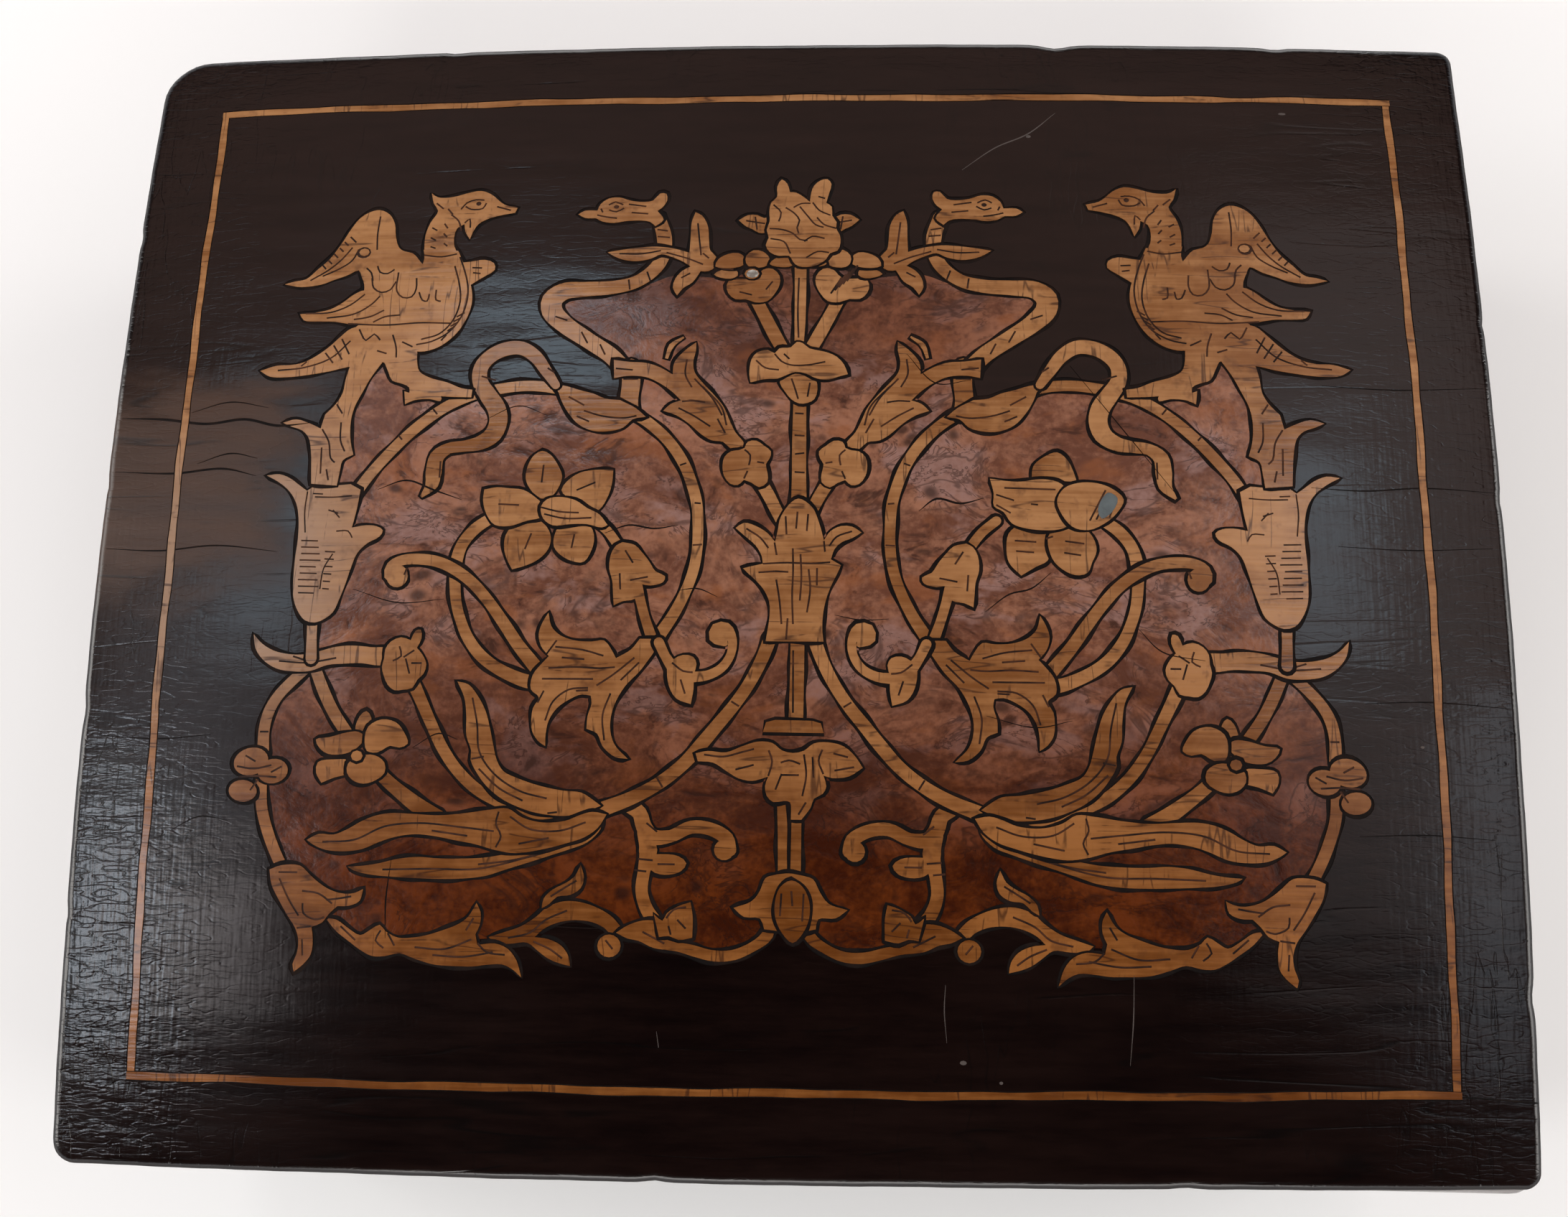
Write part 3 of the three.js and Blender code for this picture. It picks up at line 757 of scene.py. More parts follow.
def drawVase(p):
    p.light(stem([(-4.6, 12.4), (-3.2, 10), (-1.9, 7.4), (-0.6, 5)], [2.1, 2.1, 2.0, 2.0]))
    p.light(outline([
        (-7.6, 18.7, tip), (-7.1, 19.8), (-5.6, 20), (-4.3, 19.1), (-3.1, 18.1), (-3.3, 16.8), (-3.9, 15.8),
        (-3.6, 14.2), (-3.6, 12.6), (-5, 11.7), (-6.3, 12.5), (-7.6, 13, tip), (-8.6, 12.1), (-9.9, 12.3),
        (-11, 13.7), (-11.3, 15.6), (-11, 17.1), (-9.9, 18.1), (-8.6, 18.3),
    ]), lines=[[(-7.6, 18.4), (-6.6, 17.4), (-6.8, 15.6)], [(-7.6, 13.2), (-7, 14.6)],
               [(-4.2, 16), (-5.4, 16.2)]])
    p.light(outline([
        (-3.4, -14.9, tip), (-3.1, -13), (-2.8, -10.5), (-2.9, -8.3), (-3.7, -6.4), (-4.9, -4.9),
        (-6.6, -3.3), (-7.4, -2.5, tip), (-5.8, -2.1), (-4.1, -1.7, tip), (-4.3, -0.4), (-5.4, 1.5),
        (-7.1, 3), (-8.8, 4.5, tip), (-7.4, 5.4), (-5.3, 4.8), (-3.4, 3.6), (-2.1, 2.1, tip), (-1.7, 4),
        (-1.4, 5.9), (-0.6, 7.6), (0.6, 9.1), (1.7, 9.7), (2.9, 9.2), (4.2, 8), (5, 6.2), (5.6, 4.3),
        (6.1, 2.4, tip), (7.2, 4), (9, 4.9), (10.8, 4.8), (12.4, 3.8, tip), (11, 2.9), (9.1, 2.1),
        (7.9, 0.9), (7.3, -0.9, tip), (9, -1.9, tip), (8.3, -3.5), (7.4, -5.4), (6.7, -7.3), (6.2, -9.4),
        (6, -11.4), (6, -13.2), (6.2, -14.9, tip), (1.2, -14.9),
    ]), mirror=False, lines=[
        [(-4.1, -1.7), (0, -1.5), (4, -1.6), (7.2, -1.4)], [(-4.8, -3.2), (-2, -3), (0.2, -3.1)],
        [(0.9, 1), (1, -3), (0.9, -7), (1.1, -12)], [(2.2, 0), (2.4, -4), (2.2, -8)],
        [(-2.2, 2), (-1.8, -0.2)],
        [(3.6, -2.6), (3.9, -6), (3.4, -10)], [(-1.8, -4.4), (-1.2, -8), (-0.8, -12)],
        [(1.6, 7.4), (1.4, 4.4)], [(3.4, 7), (3.2, 4)], [(-0.4, 6.6), (-0.2, 3.4)], [(5, -2.4), (5, -5.4)],
        [(6.1, 2.3), (6.3, 0.4)], [(-7, 4.4), (-4.6, 2.8), (-3.2, 1)], [(10.8, 4), (8.2, 3), (7, 1.4)],
        [(0, -14.6), (0.2, -11)],
    ])


def drawRing(p):
    ring = stem([(-75.2, 10), (-73.2, 13.4), (-70.4, 17), (-67, 20.8), (-63.4, 24.1), (-59.4, 26.9),
                 (-55, 28.8), (-50, 29.9), (-45.5, 30.3), (-41, 29.8), (-36, 28.2), (-30.5, 26.3),
                 (-25.6, 24.2), (-22.5, 21.8), (-20, 19.1), (-17.9, 15.8), (-16.5, 12.4), (-15.5, 8.7),
                 (-15.2, 4.9), (-15.2, 1.2), (-15.7, -2.6), (-16.9, -6.3), (-18.8, -10.3), (-21.4, -14.4)],
                [1.9] * 18 + [1.8, 1.8, 1.8, 1.8, 1.9, 2.1])
    p.light(ring, lines=[
        [(-16, 1.5), (-14.4, 1.6)], [(-15.9, 8.9), (-14.8, 8.8)], [(-68, 21.4), (-67.3, 20.6)],
        [(-62.2, 26.2), (-61.4, 25.2)], [(-18.6, 15.6), (-17.5, 16)],
    ])
    lowerRing = stem([(-2.7, -14.6), (-4, -18), (-6, -22), (-8.4, -25.6), (-11, -28.8), (-13.6, -32),
                      (-16.6, -35.4), (-20.6, -38.6), (-25, -41), (-29.6, -42.8)],
                     [2.2, 2.1, 2.0, 2.0, 2.1, 2.2, 2.1, 2.1, 2.2, 2.4])
    p.light(lowerRing, lines=[[(-8.9, -25), (-7.6, -25.8)], [(-20.9, -37.6), (-19.9, -39.2)]])
    p.light(stem([(-27.7, 33.6), (-27.6, 30.5), (-27.8, 27.4), (-27.4, 25)], [3.2, 3.2, 3.1, 2.8]), lines=[
        [(-29, 31.4), (-26.4, 31.4)],
    ])
    p.light(outline([
        (-41.2, 30.5, tip), (-39, 30.2), (-36.5, 29.4), (-34, 28.7), (-32, 27.8), (-29.4, 27.5, tip),
        (-26.6, 26), (-24.8, 24.4, tip), (-27, 24), (-28.6, 22.5), (-31.3, 21.8), (-33.8, 21.9),
        (-36.3, 23), (-38.3, 25.2), (-39.6, 27.4), (-40.2, 29, tip),
    ]), lines=[
        [(-35.6, 25.6), (-32.4, 24.6), (-28.6, 24.2), (-26.4, 24.6)], [(-38.4, 28.2), (-35.6, 26.6)],
        [(-36.8, 24.6), (-34.6, 23.6)],
    ])


def drawRibbon(p):
    p.light(stem([(-40.8, 30.4), (-42.6, 33), (-44.6, 35.7), (-47.2, 37.4), (-50, 37.3), (-52.6, 36),
                  (-54.2, 33.9), (-54.2, 31.2), (-52.6, 28.6), (-51, 26.2), (-50.5, 23.8), (-51.3, 21.4),
                  (-53.4, 19.9), (-56.2, 19.3), (-59, 18.9), (-60.9, 17.4), (-61.3, 14.6), (-61.5, 12.4),
                  (-63.2, 10.2)],
                 [1.5, 2.0, 2.3, 2.5, 2.6, 2.6, 2.6, 2.7, 3.0, 3.2, 3.2, 3.1, 2.6, 2.0, 2.0, 2.6, 2.8, 2.3,
                  0.4]),
            lines=[[(-54, 32.2), (-51.4, 31.4)], [(-60.2, 16.6), (-60.2, 13.6)],
                   [(-42.4, 33.6), (-41.2, 32.8)]])


def drawAcanthusTop(p):
    p.light(outline([
        (-16.5, 38.2, tip), (-16.5, 36.6), (-16.9, 34.6), (-16.6, 32.6), (-15.3, 30.8), (-13.3, 28.6),
        (-11.4, 26.2), (-10.3, 23.7), (-9.3, 21.6), (-7.7, 19.4), (-8.4, 18.2, tip), (-10, 18.6),
        (-11.3, 19.8), (-13.3, 20.1), (-15, 21.1), (-17.5, 23.3), (-19.6, 24.7), (-21.8, 25.5, tip),
        (-20.6, 26.7), (-18.8, 27.4, tip), (-20.4, 29), (-22.6, 30.6), (-25.2, 31.8), (-28.4, 32),
        (-30.6, 31.6, tip), (-30.8, 35, tip), (-28, 34.6), (-25.2, 34.4), (-22.8, 33.6), (-20.4, 32.2, tip),
        (-20.2, 34.4), (-18.4, 36.7),
    ]), lines=[
        [(-18.6, 27.2), (-16.6, 27.3), (-14.6, 27)], [(-16.6, 31.4), (-13.4, 27.8), (-11.6, 24.6)],
        [(-19.2, 26), (-16.6, 24.6), (-13.6, 22.6)], [(-15.2, 30), (-11.8, 26.2), (-10.8, 22.8)],
        [(-18, 35), (-18.2, 32.2), (-17, 29.8)], [(-12.4, 24), (-11, 21.4)], [(-30.4, 33.4), (-27.4, 33.1)],
    ])
    p.light(stem([(-21.6, 35.2), (-20.8, 37.6), (-18.7, 39.2)], [0.5, 0.9, 0.3], False))


def drawHusk(p):
    p.light(stem([(-80.7, -10.5), (-80.6, -14), (-80.4, -18)], [1.8, 1.7, 1.9]))
    p.light(outline([
        (-91, 14.4, tip), (-88.7, 14.6), (-86.7, 13.8), (-84.9, 12.5), (-83.5, 11.5, tip), (-82, 12.6, tip),
        (-79, 12.4), (-75.8, 12.6, tip), (-74, 11.6, tip), (-74.4, 8), (-75, 4.8, tip), (-72.5, 5.2),
        (-70.6, 5), (-69.5, 4.3), (-70, 3.2), (-72.1, 2), (-73.7, 0.3), (-74.6, -2.2), (-75.3, -4.8),
        (-76.2, -7.6), (-77.2, -10), (-78.5, -11.1), (-80.2, -11.8), (-82, -11.4), (-83.3, -9.9),
        (-84.3, -7.6), (-84.6, -4), (-84.6, -0.5), (-84.4, 3), (-84.6, 6.6), (-85.3, 9.4), (-86.7, 11.5),
        (-88.8, 13.2),
    ]), lines=[
        [(-83.4, 11.4), (-83.6, 8), (-83.2, 4)], [(-79.4, 8), (-77.6, 7.4)], [(-78.6, 8), (-77.3, 6.6)],
        [(-78, 0.2), (-79.4, -2.4), (-79.8, -6)], [(-77.7, 4.2), (-75.6, 4.2), (-74.8, 3)],
        [(-82, 10.4), (-78.8, 10.3), (-75.4, 10.5)],
    ] + [[(-83.8 + 0.1 * (i % 3), 2.6 - 1.15 * i), (-80.8 + 0.25 * (i % 4), 2.5 - 1.15 * i)]
         for i in range(9)]
      + [[(-79.4, 0.6 - 1.3 * i), (-77.6 - 0.12 * i, 0.5 - 1.3 * i)] for i in range(6)]
      + [[(-82.4, 12.2 - 1.2 * i), (-80.6, 12.1 - 1.2 * i)] for i in range(2)], lineWidth=0.26)


def drawInnerFlower(p):
    p.light(stem([(-50.6, 6.4), (-53.4, 4.4), (-55.5, 1.6), (-56.3, -1.6), (-56.3, -5), (-55.8, -8.8),
                  (-54.9, -11.6), (-53.6, -14.4), (-51.5, -17.2), (-49, -19.2), (-46, -20.8),
                  (-42.8, -21.9), (-40, -22)],
                 [1.9, 2.0, 2.0, 2.1, 1.9, 1.8, 1.8, 1.9, 2.0, 2.0, 2.1, 2.3, 2.4]), mirror=True)
    p.light(stem([(-33, 6), (-30.6, 4), (-28.6, 1.4)], [1.6, 1.6, 1.6]), mirror=True)
    petals = [
        [(-42.5, 18.3), (-41, 17.6), (-39.4, 15.3), (-38.8, 13.7), (-39.4, 11.6), (-40.4, 10.2),
         (-42.5, 9.8), (-44.2, 11.4), (-45.1, 13.3), (-44.8, 15.8), (-43.8, 17.6)],
        [(-30, 14.8, tip), (-30.2, 12), (-31, 9.5), (-32.1, 7.8), (-33.3, 7.4), (-35.8, 8.9), (-37.9, 10.1),
         (-38.8, 11.2), (-37.9, 12.8), (-35.8, 14.3), (-33.3, 14.8)],
        [(-48, 3.3), (-47.1, 4.7), (-45, 6), (-42.7, 6), (-41, 4.7), (-40.2, 2.8), (-40.6, 0.8),
         (-42.1, -0.9), (-44.2, -2), (-46.6, -2.7, tip), (-47.6, -0.9), (-48.2, 1.2)],
        [(-39.6, 3.3), (-38.8, 4.8), (-36, 5.2), (-33.4, 4.6), (-32.8, 2.8), (-33.1, 0.8), (-34.4, -1.4),
         (-36.3, -1.3), (-38.3, -0.3), (-39.6, 1.2)],
        [(-52.2, 11.4, tip), (-50, 11.8), (-47.9, 11.6), (-45.4, 11.3), (-43.3, 10), (-42, 8.7),
         (-41.9, 6.6), (-44.6, 5.8), (-47.5, 4.9), (-50, 5.1), (-51.1, 6.2), (-51.9, 7.8), (-52.3, 9.5)],
        [(-42.2, 8.3), (-41.2, 9.6), (-39.2, 10), (-36.3, 9.4), (-34.2, 8), (-32.1, 6.9), (-30.6, 5, tip),
         (-31.6, 4.6), (-34.2, 5.2), (-37, 5.2), (-40, 5), (-41.7, 6.2)],
    ]
    for petal in petals:
        p.light(outline(petal), mirror=False)
    p.group += 1
    p.engrave([
        [(-42.1, 15.8), (-42.3, 12.6)], [(-33, 12.6), (-36.2, 11.2)], [(-44.6, 0.8), (-43.6, 3.6)],
        [(-36.6, 1), (-36.2, 3.4)], [(-49.6, 8.8), (-46, 8.6)], [(-42.2, 8.2), (-39, 7.4), (-35.6, 7.2)],
        [(-41.6, 7), (-38, 6.2), (-33.4, 6.3)],
    ])
    p.light(outline([
        (-27.9, 2, tip), (-25.8, 1.5), (-24.6, 0.3), (-23.3, -1.3), (-22.1, -3.1), (-20.5, -3.9),
        (-20.8, -4.9), (-22.9, -5.5), (-24.4, -5.3, tip), (-24.9, -6.4), (-25.5, -7.8), (-27.5, -8.2),
        (-29, -8.9, tip), (-29.2, -6.8), (-29.4, -4.7), (-30, -2.6), (-29.8, -0.1), (-29, 1.4),
    ]), stem([(-25.2, -5.4), (-24.4, -8.5), (-23.5, -11.5), (-22.3, -14.8)], [1.8, 1.6, 1.6, 1.8]), lines=[
        [(-28, -6.2), (-28.2, -3.4)], [(-26.4, -4.6), (-23.4, -4)], [(-27.4, 0.6), (-26, -1.6)],
    ])


# the right flower has straighter replaced petals, coarse lines and a bare grey patch
def drawRepairedFlower(p):
    petals = [
        [(41, 13.4, tip), (41.4, 15.8), (43.6, 17.6), (45.4, 18.2), (47, 17), (48, 15), (48.6, 13, tip)],
        [(37, -1.2), (36.6, 1.4), (37, 3.8), (38.6, 5.2), (41.4, 5.6), (43.6, 4.2), (44, 1.6), (43.4, -0.8),
         (41.6, -1.8), (39, -3.4, tip)],
        [(43.6, 3.4), (45.6, 5.2), (48.6, 5.6), (51, 3.4), (51.6, 1), (50.8, -1), (50, -2.8), (48, -3.2),
         (45.8, -2.2), (44.2, -0.4)],
        [(34, 13.4, tip), (38.6, 12.9), (43, 13.4), (46, 12.6), (47.6, 10), (48.4, 6.6), (46, 4.8),
         (41, 4.6), (37.6, 5.6), (36.2, 7.6), (34.6, 8.6), (34.6, 10.8)],
        [(45.2, 9.4), (46.4, 11.8), (48.8, 12.8), (52, 12.8), (54.6, 11.8), (56.4, 10), (55, 7.4),
         (52.8, 5.6), (50.4, 4.6), (47.6, 5.2)],
    ]
    for petal in petals:
        p.light(outline(petal), mirror=False)
    p.group += 1
    lines = [[(50.6 + 1.1 * i, 6.2 + 0.2 * i), (53.4 + 0.5 * i, 11.6 - 0.7 * i)] for i in range(4)]
    lines += [[(40.8, 9), (42, 8.9)], [(35, 10.6), (38, 9.6)], [(35, 8.8), (37.4, 7.4)],
              [(43.2, 3), (44.4, 3.4)],
              [(38, 2.6), (41.6, 2.4)], [(38.2, 0.8), (41.2, 0.6)], [(46.4, 2.6), (49.6, 2.2)],
              [(46.2, 0.6), (49, 0.2)], [(36.4, 11.8), (45, 11.6)]]
    p.engrave(lines)
    p.group += 1
    p.plain("putty", outline([(52, 8.2), (53.8, 11.2), (55.4, 10.2), (54.4, 7.8), (52.6, 6.6)]))


def drawInnerAcanthus(p):
    curl = stem([(-66.6, -4.9), (-68, -3.8), (-67.6, -2), (-65.6, -1), (-62, -0.9), (-59, -1.5), (-56, -3),
                 (-53, -5.3), (-50.3, -8.3), (-47.6, -11.9), (-44.9, -15.7), (-41.8, -19.4)],
                [1.0, 1.3, 1.6, 1.8, 1.9, 1.9, 1.9, 1.9, 1.9, 2.0, 2.1, 2.3])
    p.light(curl, disc(-66.4, -3.8, 3.7, 3.9), lines=[[(-64.8, -2.4), (-65.2, -3.6)]])
    p.light(outline([
        (-20.7, -14.6, tip), (-22.2, -17.2, tip), (-24.2, -20), (-26.7, -22.7), (-28.4, -26),
        (-28.9, -29.3), (-28.1, -32.2), (-25.8, -34.6, tip), (-27.9, -34.3), (-30, -32.6), (-31, -30.5),
        (-32.8, -29.7, tip), (-32.7, -27.6), (-32.1, -25.5), (-32.3, -24.2, tip), (-33.8, -24),
        (-35.8, -24.8), (-37.9, -26.3), (-39.2, -28.4), (-39.6, -30.5), (-39.6, -32.6, tip), (-40.8, -31.8),
        (-41.9, -30.1), (-42.1, -28), (-41.9, -26.3), (-41, -24.5), (-42.4, -23.2), (-42.2, -20.8),
        (-40.8, -18.9), (-39.6, -17.6, tip), (-41, -15.9), (-41.5, -13.8), (-41, -12), (-40, -10.2, tip),
        (-39.4, -12.5), (-37.9, -14), (-35.4, -14.9), (-32.5, -15.1), (-30.4, -14.9), (-29.2, -16.3),
        (-28.3, -17.9, tip), (-25.8, -16.4), (-24.4, -14.6, tip),
    ]), lines=[
        [(-38.6, -16), (-34, -16.5), (-30.4, -17.5)],
        [(-39.6, -19.6), (-35, -19.4), (-31, -19.6), (-28.4, -19.4)],
        [(-40.6, -21.4), (-36, -21.4), (-32, -21.4)], [(-31.4, -22.5), (-28.6, -20.6), (-25.2, -17.8)],
        [(-38.4, -14.9), (-40, -17.2)], [(-39.8, -28.4), (-38.6, -25.2), (-36, -23.2), (-32.8, -22.9)],
        [(-29.8, -31.6), (-30.2, -27.4), (-29, -23.8)], [(-37.4, -17.8), (-33.6, -18.1)],
        [(-34.8, -23.4), (-32.8, -23.3)], [(-27.4, -21.6), (-24.4, -18.6)],
        [(-41.2, -25.4), (-40.2, -23.4)],
    ])
    p.light(stem([(-10.2, -15.2), (-11.9, -14.4), (-11.6, -12.8), (-10, -12.7), (-9, -14.6), (-9.1, -17),
                  (-10.6, -19.4), (-13, -20.7), (-15.6, -21)],
                 [1.2, 1.8, 1.9, 1.8, 1.6, 1.4, 1.5, 1.6, 1.8]),
            disc(-10.9, -14, 2.8, 3.2),
            stem([(-21.2, -15.2), (-20, -17.6), (-18.6, -19.6)], [1.7, 1.6, 2.0]),
            outline([(-19.6, -19.2), (-18.6, -18), (-17.1, -17.3), (-15.4, -17.6), (-14.8, -18.8),
                     (-15.2, -20.6), (-15.2, -23), (-15.6, -25.5, tip), (-18, -24.6), (-19.3, -22.5)]),
            lines=[[(-18.9, -18.6), (-17, -20), (-15.4, -20.2)], [(-17.4, -21.4), (-16.6, -23.8)]])


def drawLowerLeaves(p):
    p.light(stem([(-62.6, -21.8), (-60.8, -25.4), (-59, -29), (-56.9, -33), (-54.1, -36.8), (-50.6, -39.9),
                  (-46.6, -42), (-42, -43.8), (-38, -44.2)], [2.2, 2.0, 1.9, 1.9, 1.9, 1.9, 1.8, 1.6, 1.0]))
    p.light(stem([(-68.4, -36.4), (-64.6, -39.6), (-60.8, -42.4), (-56.6, -45)], [2.0, 2.2, 2.6, 3.0],
                 False))
    p.light(outline([
        (-54.9, -21.9, tip), (-53.6, -24.6), (-53.1, -27.6), (-52.9, -31), (-52, -33.4), (-52, -35),
        (-50.8, -37.2), (-49.2, -39.2), (-46.7, -41.2), (-43.8, -42.6), (-40.4, -43.6), (-36, -44),
        (-33.3, -43.6), (-30, -42.3, tip), (-31.4, -41.3), (-33.3, -40.2), (-36.3, -39.9), (-40, -39.2),
        (-43.8, -38), (-46.4, -36.8), (-47.6, -35), (-48.3, -32.6), (-49, -29.7), (-49.9, -26.8),
        (-51.4, -24.2), (-53, -22.4),
    ]), lines=[
        [(-52.2, -24.6), (-51.2, -29), (-50.6, -33.6), (-48, -37.2), (-43.6, -40), (-39, -41.2)],
        [(-51.9, -34.8), (-49.8, -34.4)], [(-50.6, -36.4), (-47, -39.6), (-43, -41.6)],
        [(-38.8, -43.6), (-37.2, -43.4)],
    ])
    p.light(outline([
        (-71.9, -52.6, tip), (-69.2, -52.4), (-66.7, -52), (-63.3, -51.2), (-60, -50.9), (-56.7, -51.1),
        (-53, -51.1), (-49.2, -50.9), (-45, -50.2), (-40, -49.1), (-36.3, -48), (-33.4, -46.9),
        (-31.4, -45.3), (-29.8, -44, tip), (-29.9, -46), (-32, -48.2), (-35, -49.4), (-38, -50.4),
        (-41.7, -51.6), (-45.8, -52.9), (-48.6, -53.8), (-52.5, -54.3), (-56.6, -54.4), (-60.8, -54.3),
        (-65, -54.1), (-68.3, -53.8), (-70.8, -53.2),
    ]), lines=[
        [(-66, -53), (-58, -52.8), (-50, -52.7), (-42, -50.8), (-35, -48.6), (-31.6, -46.6)],
        [(-50, -52), (-44, -51.2), (-38, -49.6)],
    ])
    p.light(outline([
        (-79.1, -48.3, tip), (-77.1, -47.3), (-74.6, -47.4), (-72.1, -46.4), (-70, -45.2), (-67.5, -44.2),
        (-65, -43.8), (-61.3, -43.9), (-57, -44.1), (-52.5, -43.7), (-48.3, -43.1), (-45.4, -42.9),
        (-43, -44.3), (-39.6, -45.1), (-35.8, -44.8), (-33.3, -43.8), (-31.3, -43.3), (-29, -43.7, tip),
        (-30.4, -45.9), (-32.5, -47.4), (-35.4, -48.4), (-39.2, -49.4), (-43.8, -50.1), (-47, -49.7),
        (-50.8, -48.7), (-54.2, -48.1), (-57.5, -47.5), (-60.8, -47.2), (-64.2, -47.7), (-66.7, -48.5),
        (-69.6, -49.7), (-72.5, -50.1), (-75.8, -49.9), (-77.9, -49.1),
    ]), lines=[
        [(-76.4, -48.6), (-71, -48.2), (-66, -46), (-60, -45.4), (-53, -46), (-47.6, -46.6)],
        [(-46.9, -43.4), (-47.3, -45.4), (-46.4, -47.4), (-47.2, -49.2)], [(-58, -46.6), (-52, -47.4)],
        [(-45, -44.2), (-41.6, -46.2), (-36.6, -46.4), (-32.4, -45)], [(-43.4, -48.6), (-38.4, -47.6)],
    ])


def drawSideFlowers(p):
    p.light(stem([(-81, -19.6), (-83.6, -22), (-85.8, -24.5), (-87.1, -27), (-87.7, -30), (-87.6, -34)],
                 [1.7, 1.8, 1.8, 1.9, 1.9, 2.0]), lines=[[(-88.4, -30.4), (-86.9, -30.4)]])
    p.light(stem([(-87.6, -38.6), (-87.2, -43), (-86, -46.8), (-84.6, -50), (-83, -53)], 1.9))
    p.light(stem([(-79.6, -19.6), (-77.6, -24), (-75.8, -27.2), (-73.2, -30.8)], [1.9, 2.0, 2.0, 2.0]))
    p.light(outline([
        (-90.8, -13.8, tip), (-89.2, -15.4), (-87.1, -16.6), (-84.6, -17.2), (-81.7, -17.3), (-79.2, -16.8),
        (-76.7, -16.1), (-74.2, -15.8), (-71.7, -15.9), (-70, -16.1), (-67, -16.4), (-66.6, -19),
        (-68.6, -19.2), (-71.7, -18.8), (-75, -18.9), (-77.5, -19.1), (-80.4, -20.1), (-83.3, -20.2),
        (-86.3, -19.7), (-88.8, -18.2), (-90.3, -16.2),
    ]), lines=[[(-86, -18.4), (-81, -18.7), (-76, -17.9)], [(-83.6, -17.6), (-80.4, -18.6)]])
    p.light(outline([
        (-67.6, -16.4), (-66.7, -15.1), (-65, -14.4), (-63.3, -14.9, tip), (-62.6, -13.3), (-61.7, -13.1),
        (-61.5, -14.6), (-62.2, -16.2, tip), (-61.2, -17.3), (-60.4, -19), (-60.8, -20.6), (-61.8, -21.6),
        (-62.6, -23), (-64.2, -23.3), (-65.6, -23.4), (-66.8, -22.5), (-67.6, -20.9), (-68, -19.4),
        (-67.7, -18),
    ]), lines=[
        [(-65.2, -15.9), (-64.8, -17.6), (-66.2, -18.4)], [(-62.6, -16.6), (-64.4, -17.8)],
        [(-64, -18), (-63.2, -20.6)], [(-61.2, -18.8), (-63, -18.8)],
    ])
    petals = [
        [(-71.9, -30.2), (-71.3, -27.8), (-70.2, -26.9), (-69.3, -28), (-69.5, -30.6), (-70.6, -31.4)],
        [(-78.6, -31.7), (-76.3, -31.3), (-73.3, -30.5), (-71.3, -30.4), (-70.2, -31.3), (-71.4, -33),
         (-73.3, -34), (-76.3, -34.1), (-77.8, -33.2)],
        [(-70.2, -31.3), (-69.7, -29.5), (-67.5, -28.3), (-65, -28.8), (-63.5, -30.5), (-62.8, -32.3),
         (-64.2, -33), (-65.8, -32.7), (-67.9, -33.8), (-69.7, -33.6)],
        [(-78, -35.5), (-75, -35), (-72.8, -35.2), (-72.6, -37.2), (-75, -38), (-77.2, -38.9, tip),
         (-78.2, -37.2)],
        [(-72.8, -35.7), (-70.8, -34.4), (-68.3, -34.3), (-66.6, -35.5), (-66.5, -37.2), (-67.9, -38.4),
         (-70, -39), (-71.9, -38.4), (-72.9, -37.2)],
    ]
    for petal in petals:
        p.light(outline(petal))
    p.light(disc(-71.4, -34.4, 2.0, 1.8))
    p.light(
        disc(-89.6, -35.4, 6.0, 4.6, 12), disc(-85.7, -37, 5.2, 4.1, 8), disc(-90.7, -40.3, 4.9, 3.6, -6),
        lines=[[(-92, -36.2), (-89, -36.6), (-86, -36)], [(-91.6, -38), (-88.6, -37.8), (-85, -38)],
               [(-90.6, -34.4), (-88.8, -35.4)], [(-88.2, -38.4), (-89.4, -40.2)],
               [(-84.2, -36.2), (-86, -37.2)]])
    p.light(outline([
        (-85.2, -53.2, tip), (-83.3, -52.5), (-80, -52.5), (-78.3, -53.9), (-76.7, -55.2), (-74.6, -56.4),
        (-72.1, -57), (-70.4, -56.8), (-69.1, -56.2, tip), (-69.6, -58.1), (-71.3, -58.9),
        (-73.3, -59, tip), (-74.6, -60.2), (-75.8, -61.7), (-77.5, -62.4, tip), (-77.2, -64.3),
        (-77.4, -66.8), (-78.6, -68.4), (-80.1, -69.6, tip), (-80.4, -68.4), (-79.8, -66.8), (-79.6, -64.8),
        (-80.2, -62.7), (-81.7, -60.6), (-83.3, -58.1), (-84.7, -55.6),
    ]), lines=[
        [(-74.2, -58.6), (-76.6, -57), (-79.4, -56.6)],
        [(-79.2, -58.6), (-79, -60.2), (-76.8, -61.2), (-75.4, -60.8)],
        [(-80, -62.6), (-77.6, -62.3)], [(-83.4, -54.6), (-81.6, -58), (-79.8, -60.6)],
        [(-83.6, -53.6), (-80.4, -53.6)], [(-71, -57.4), (-73.4, -57.8), (-75.2, -58)],
        [(-79, -64.4), (-78.8, -67)],
    ])


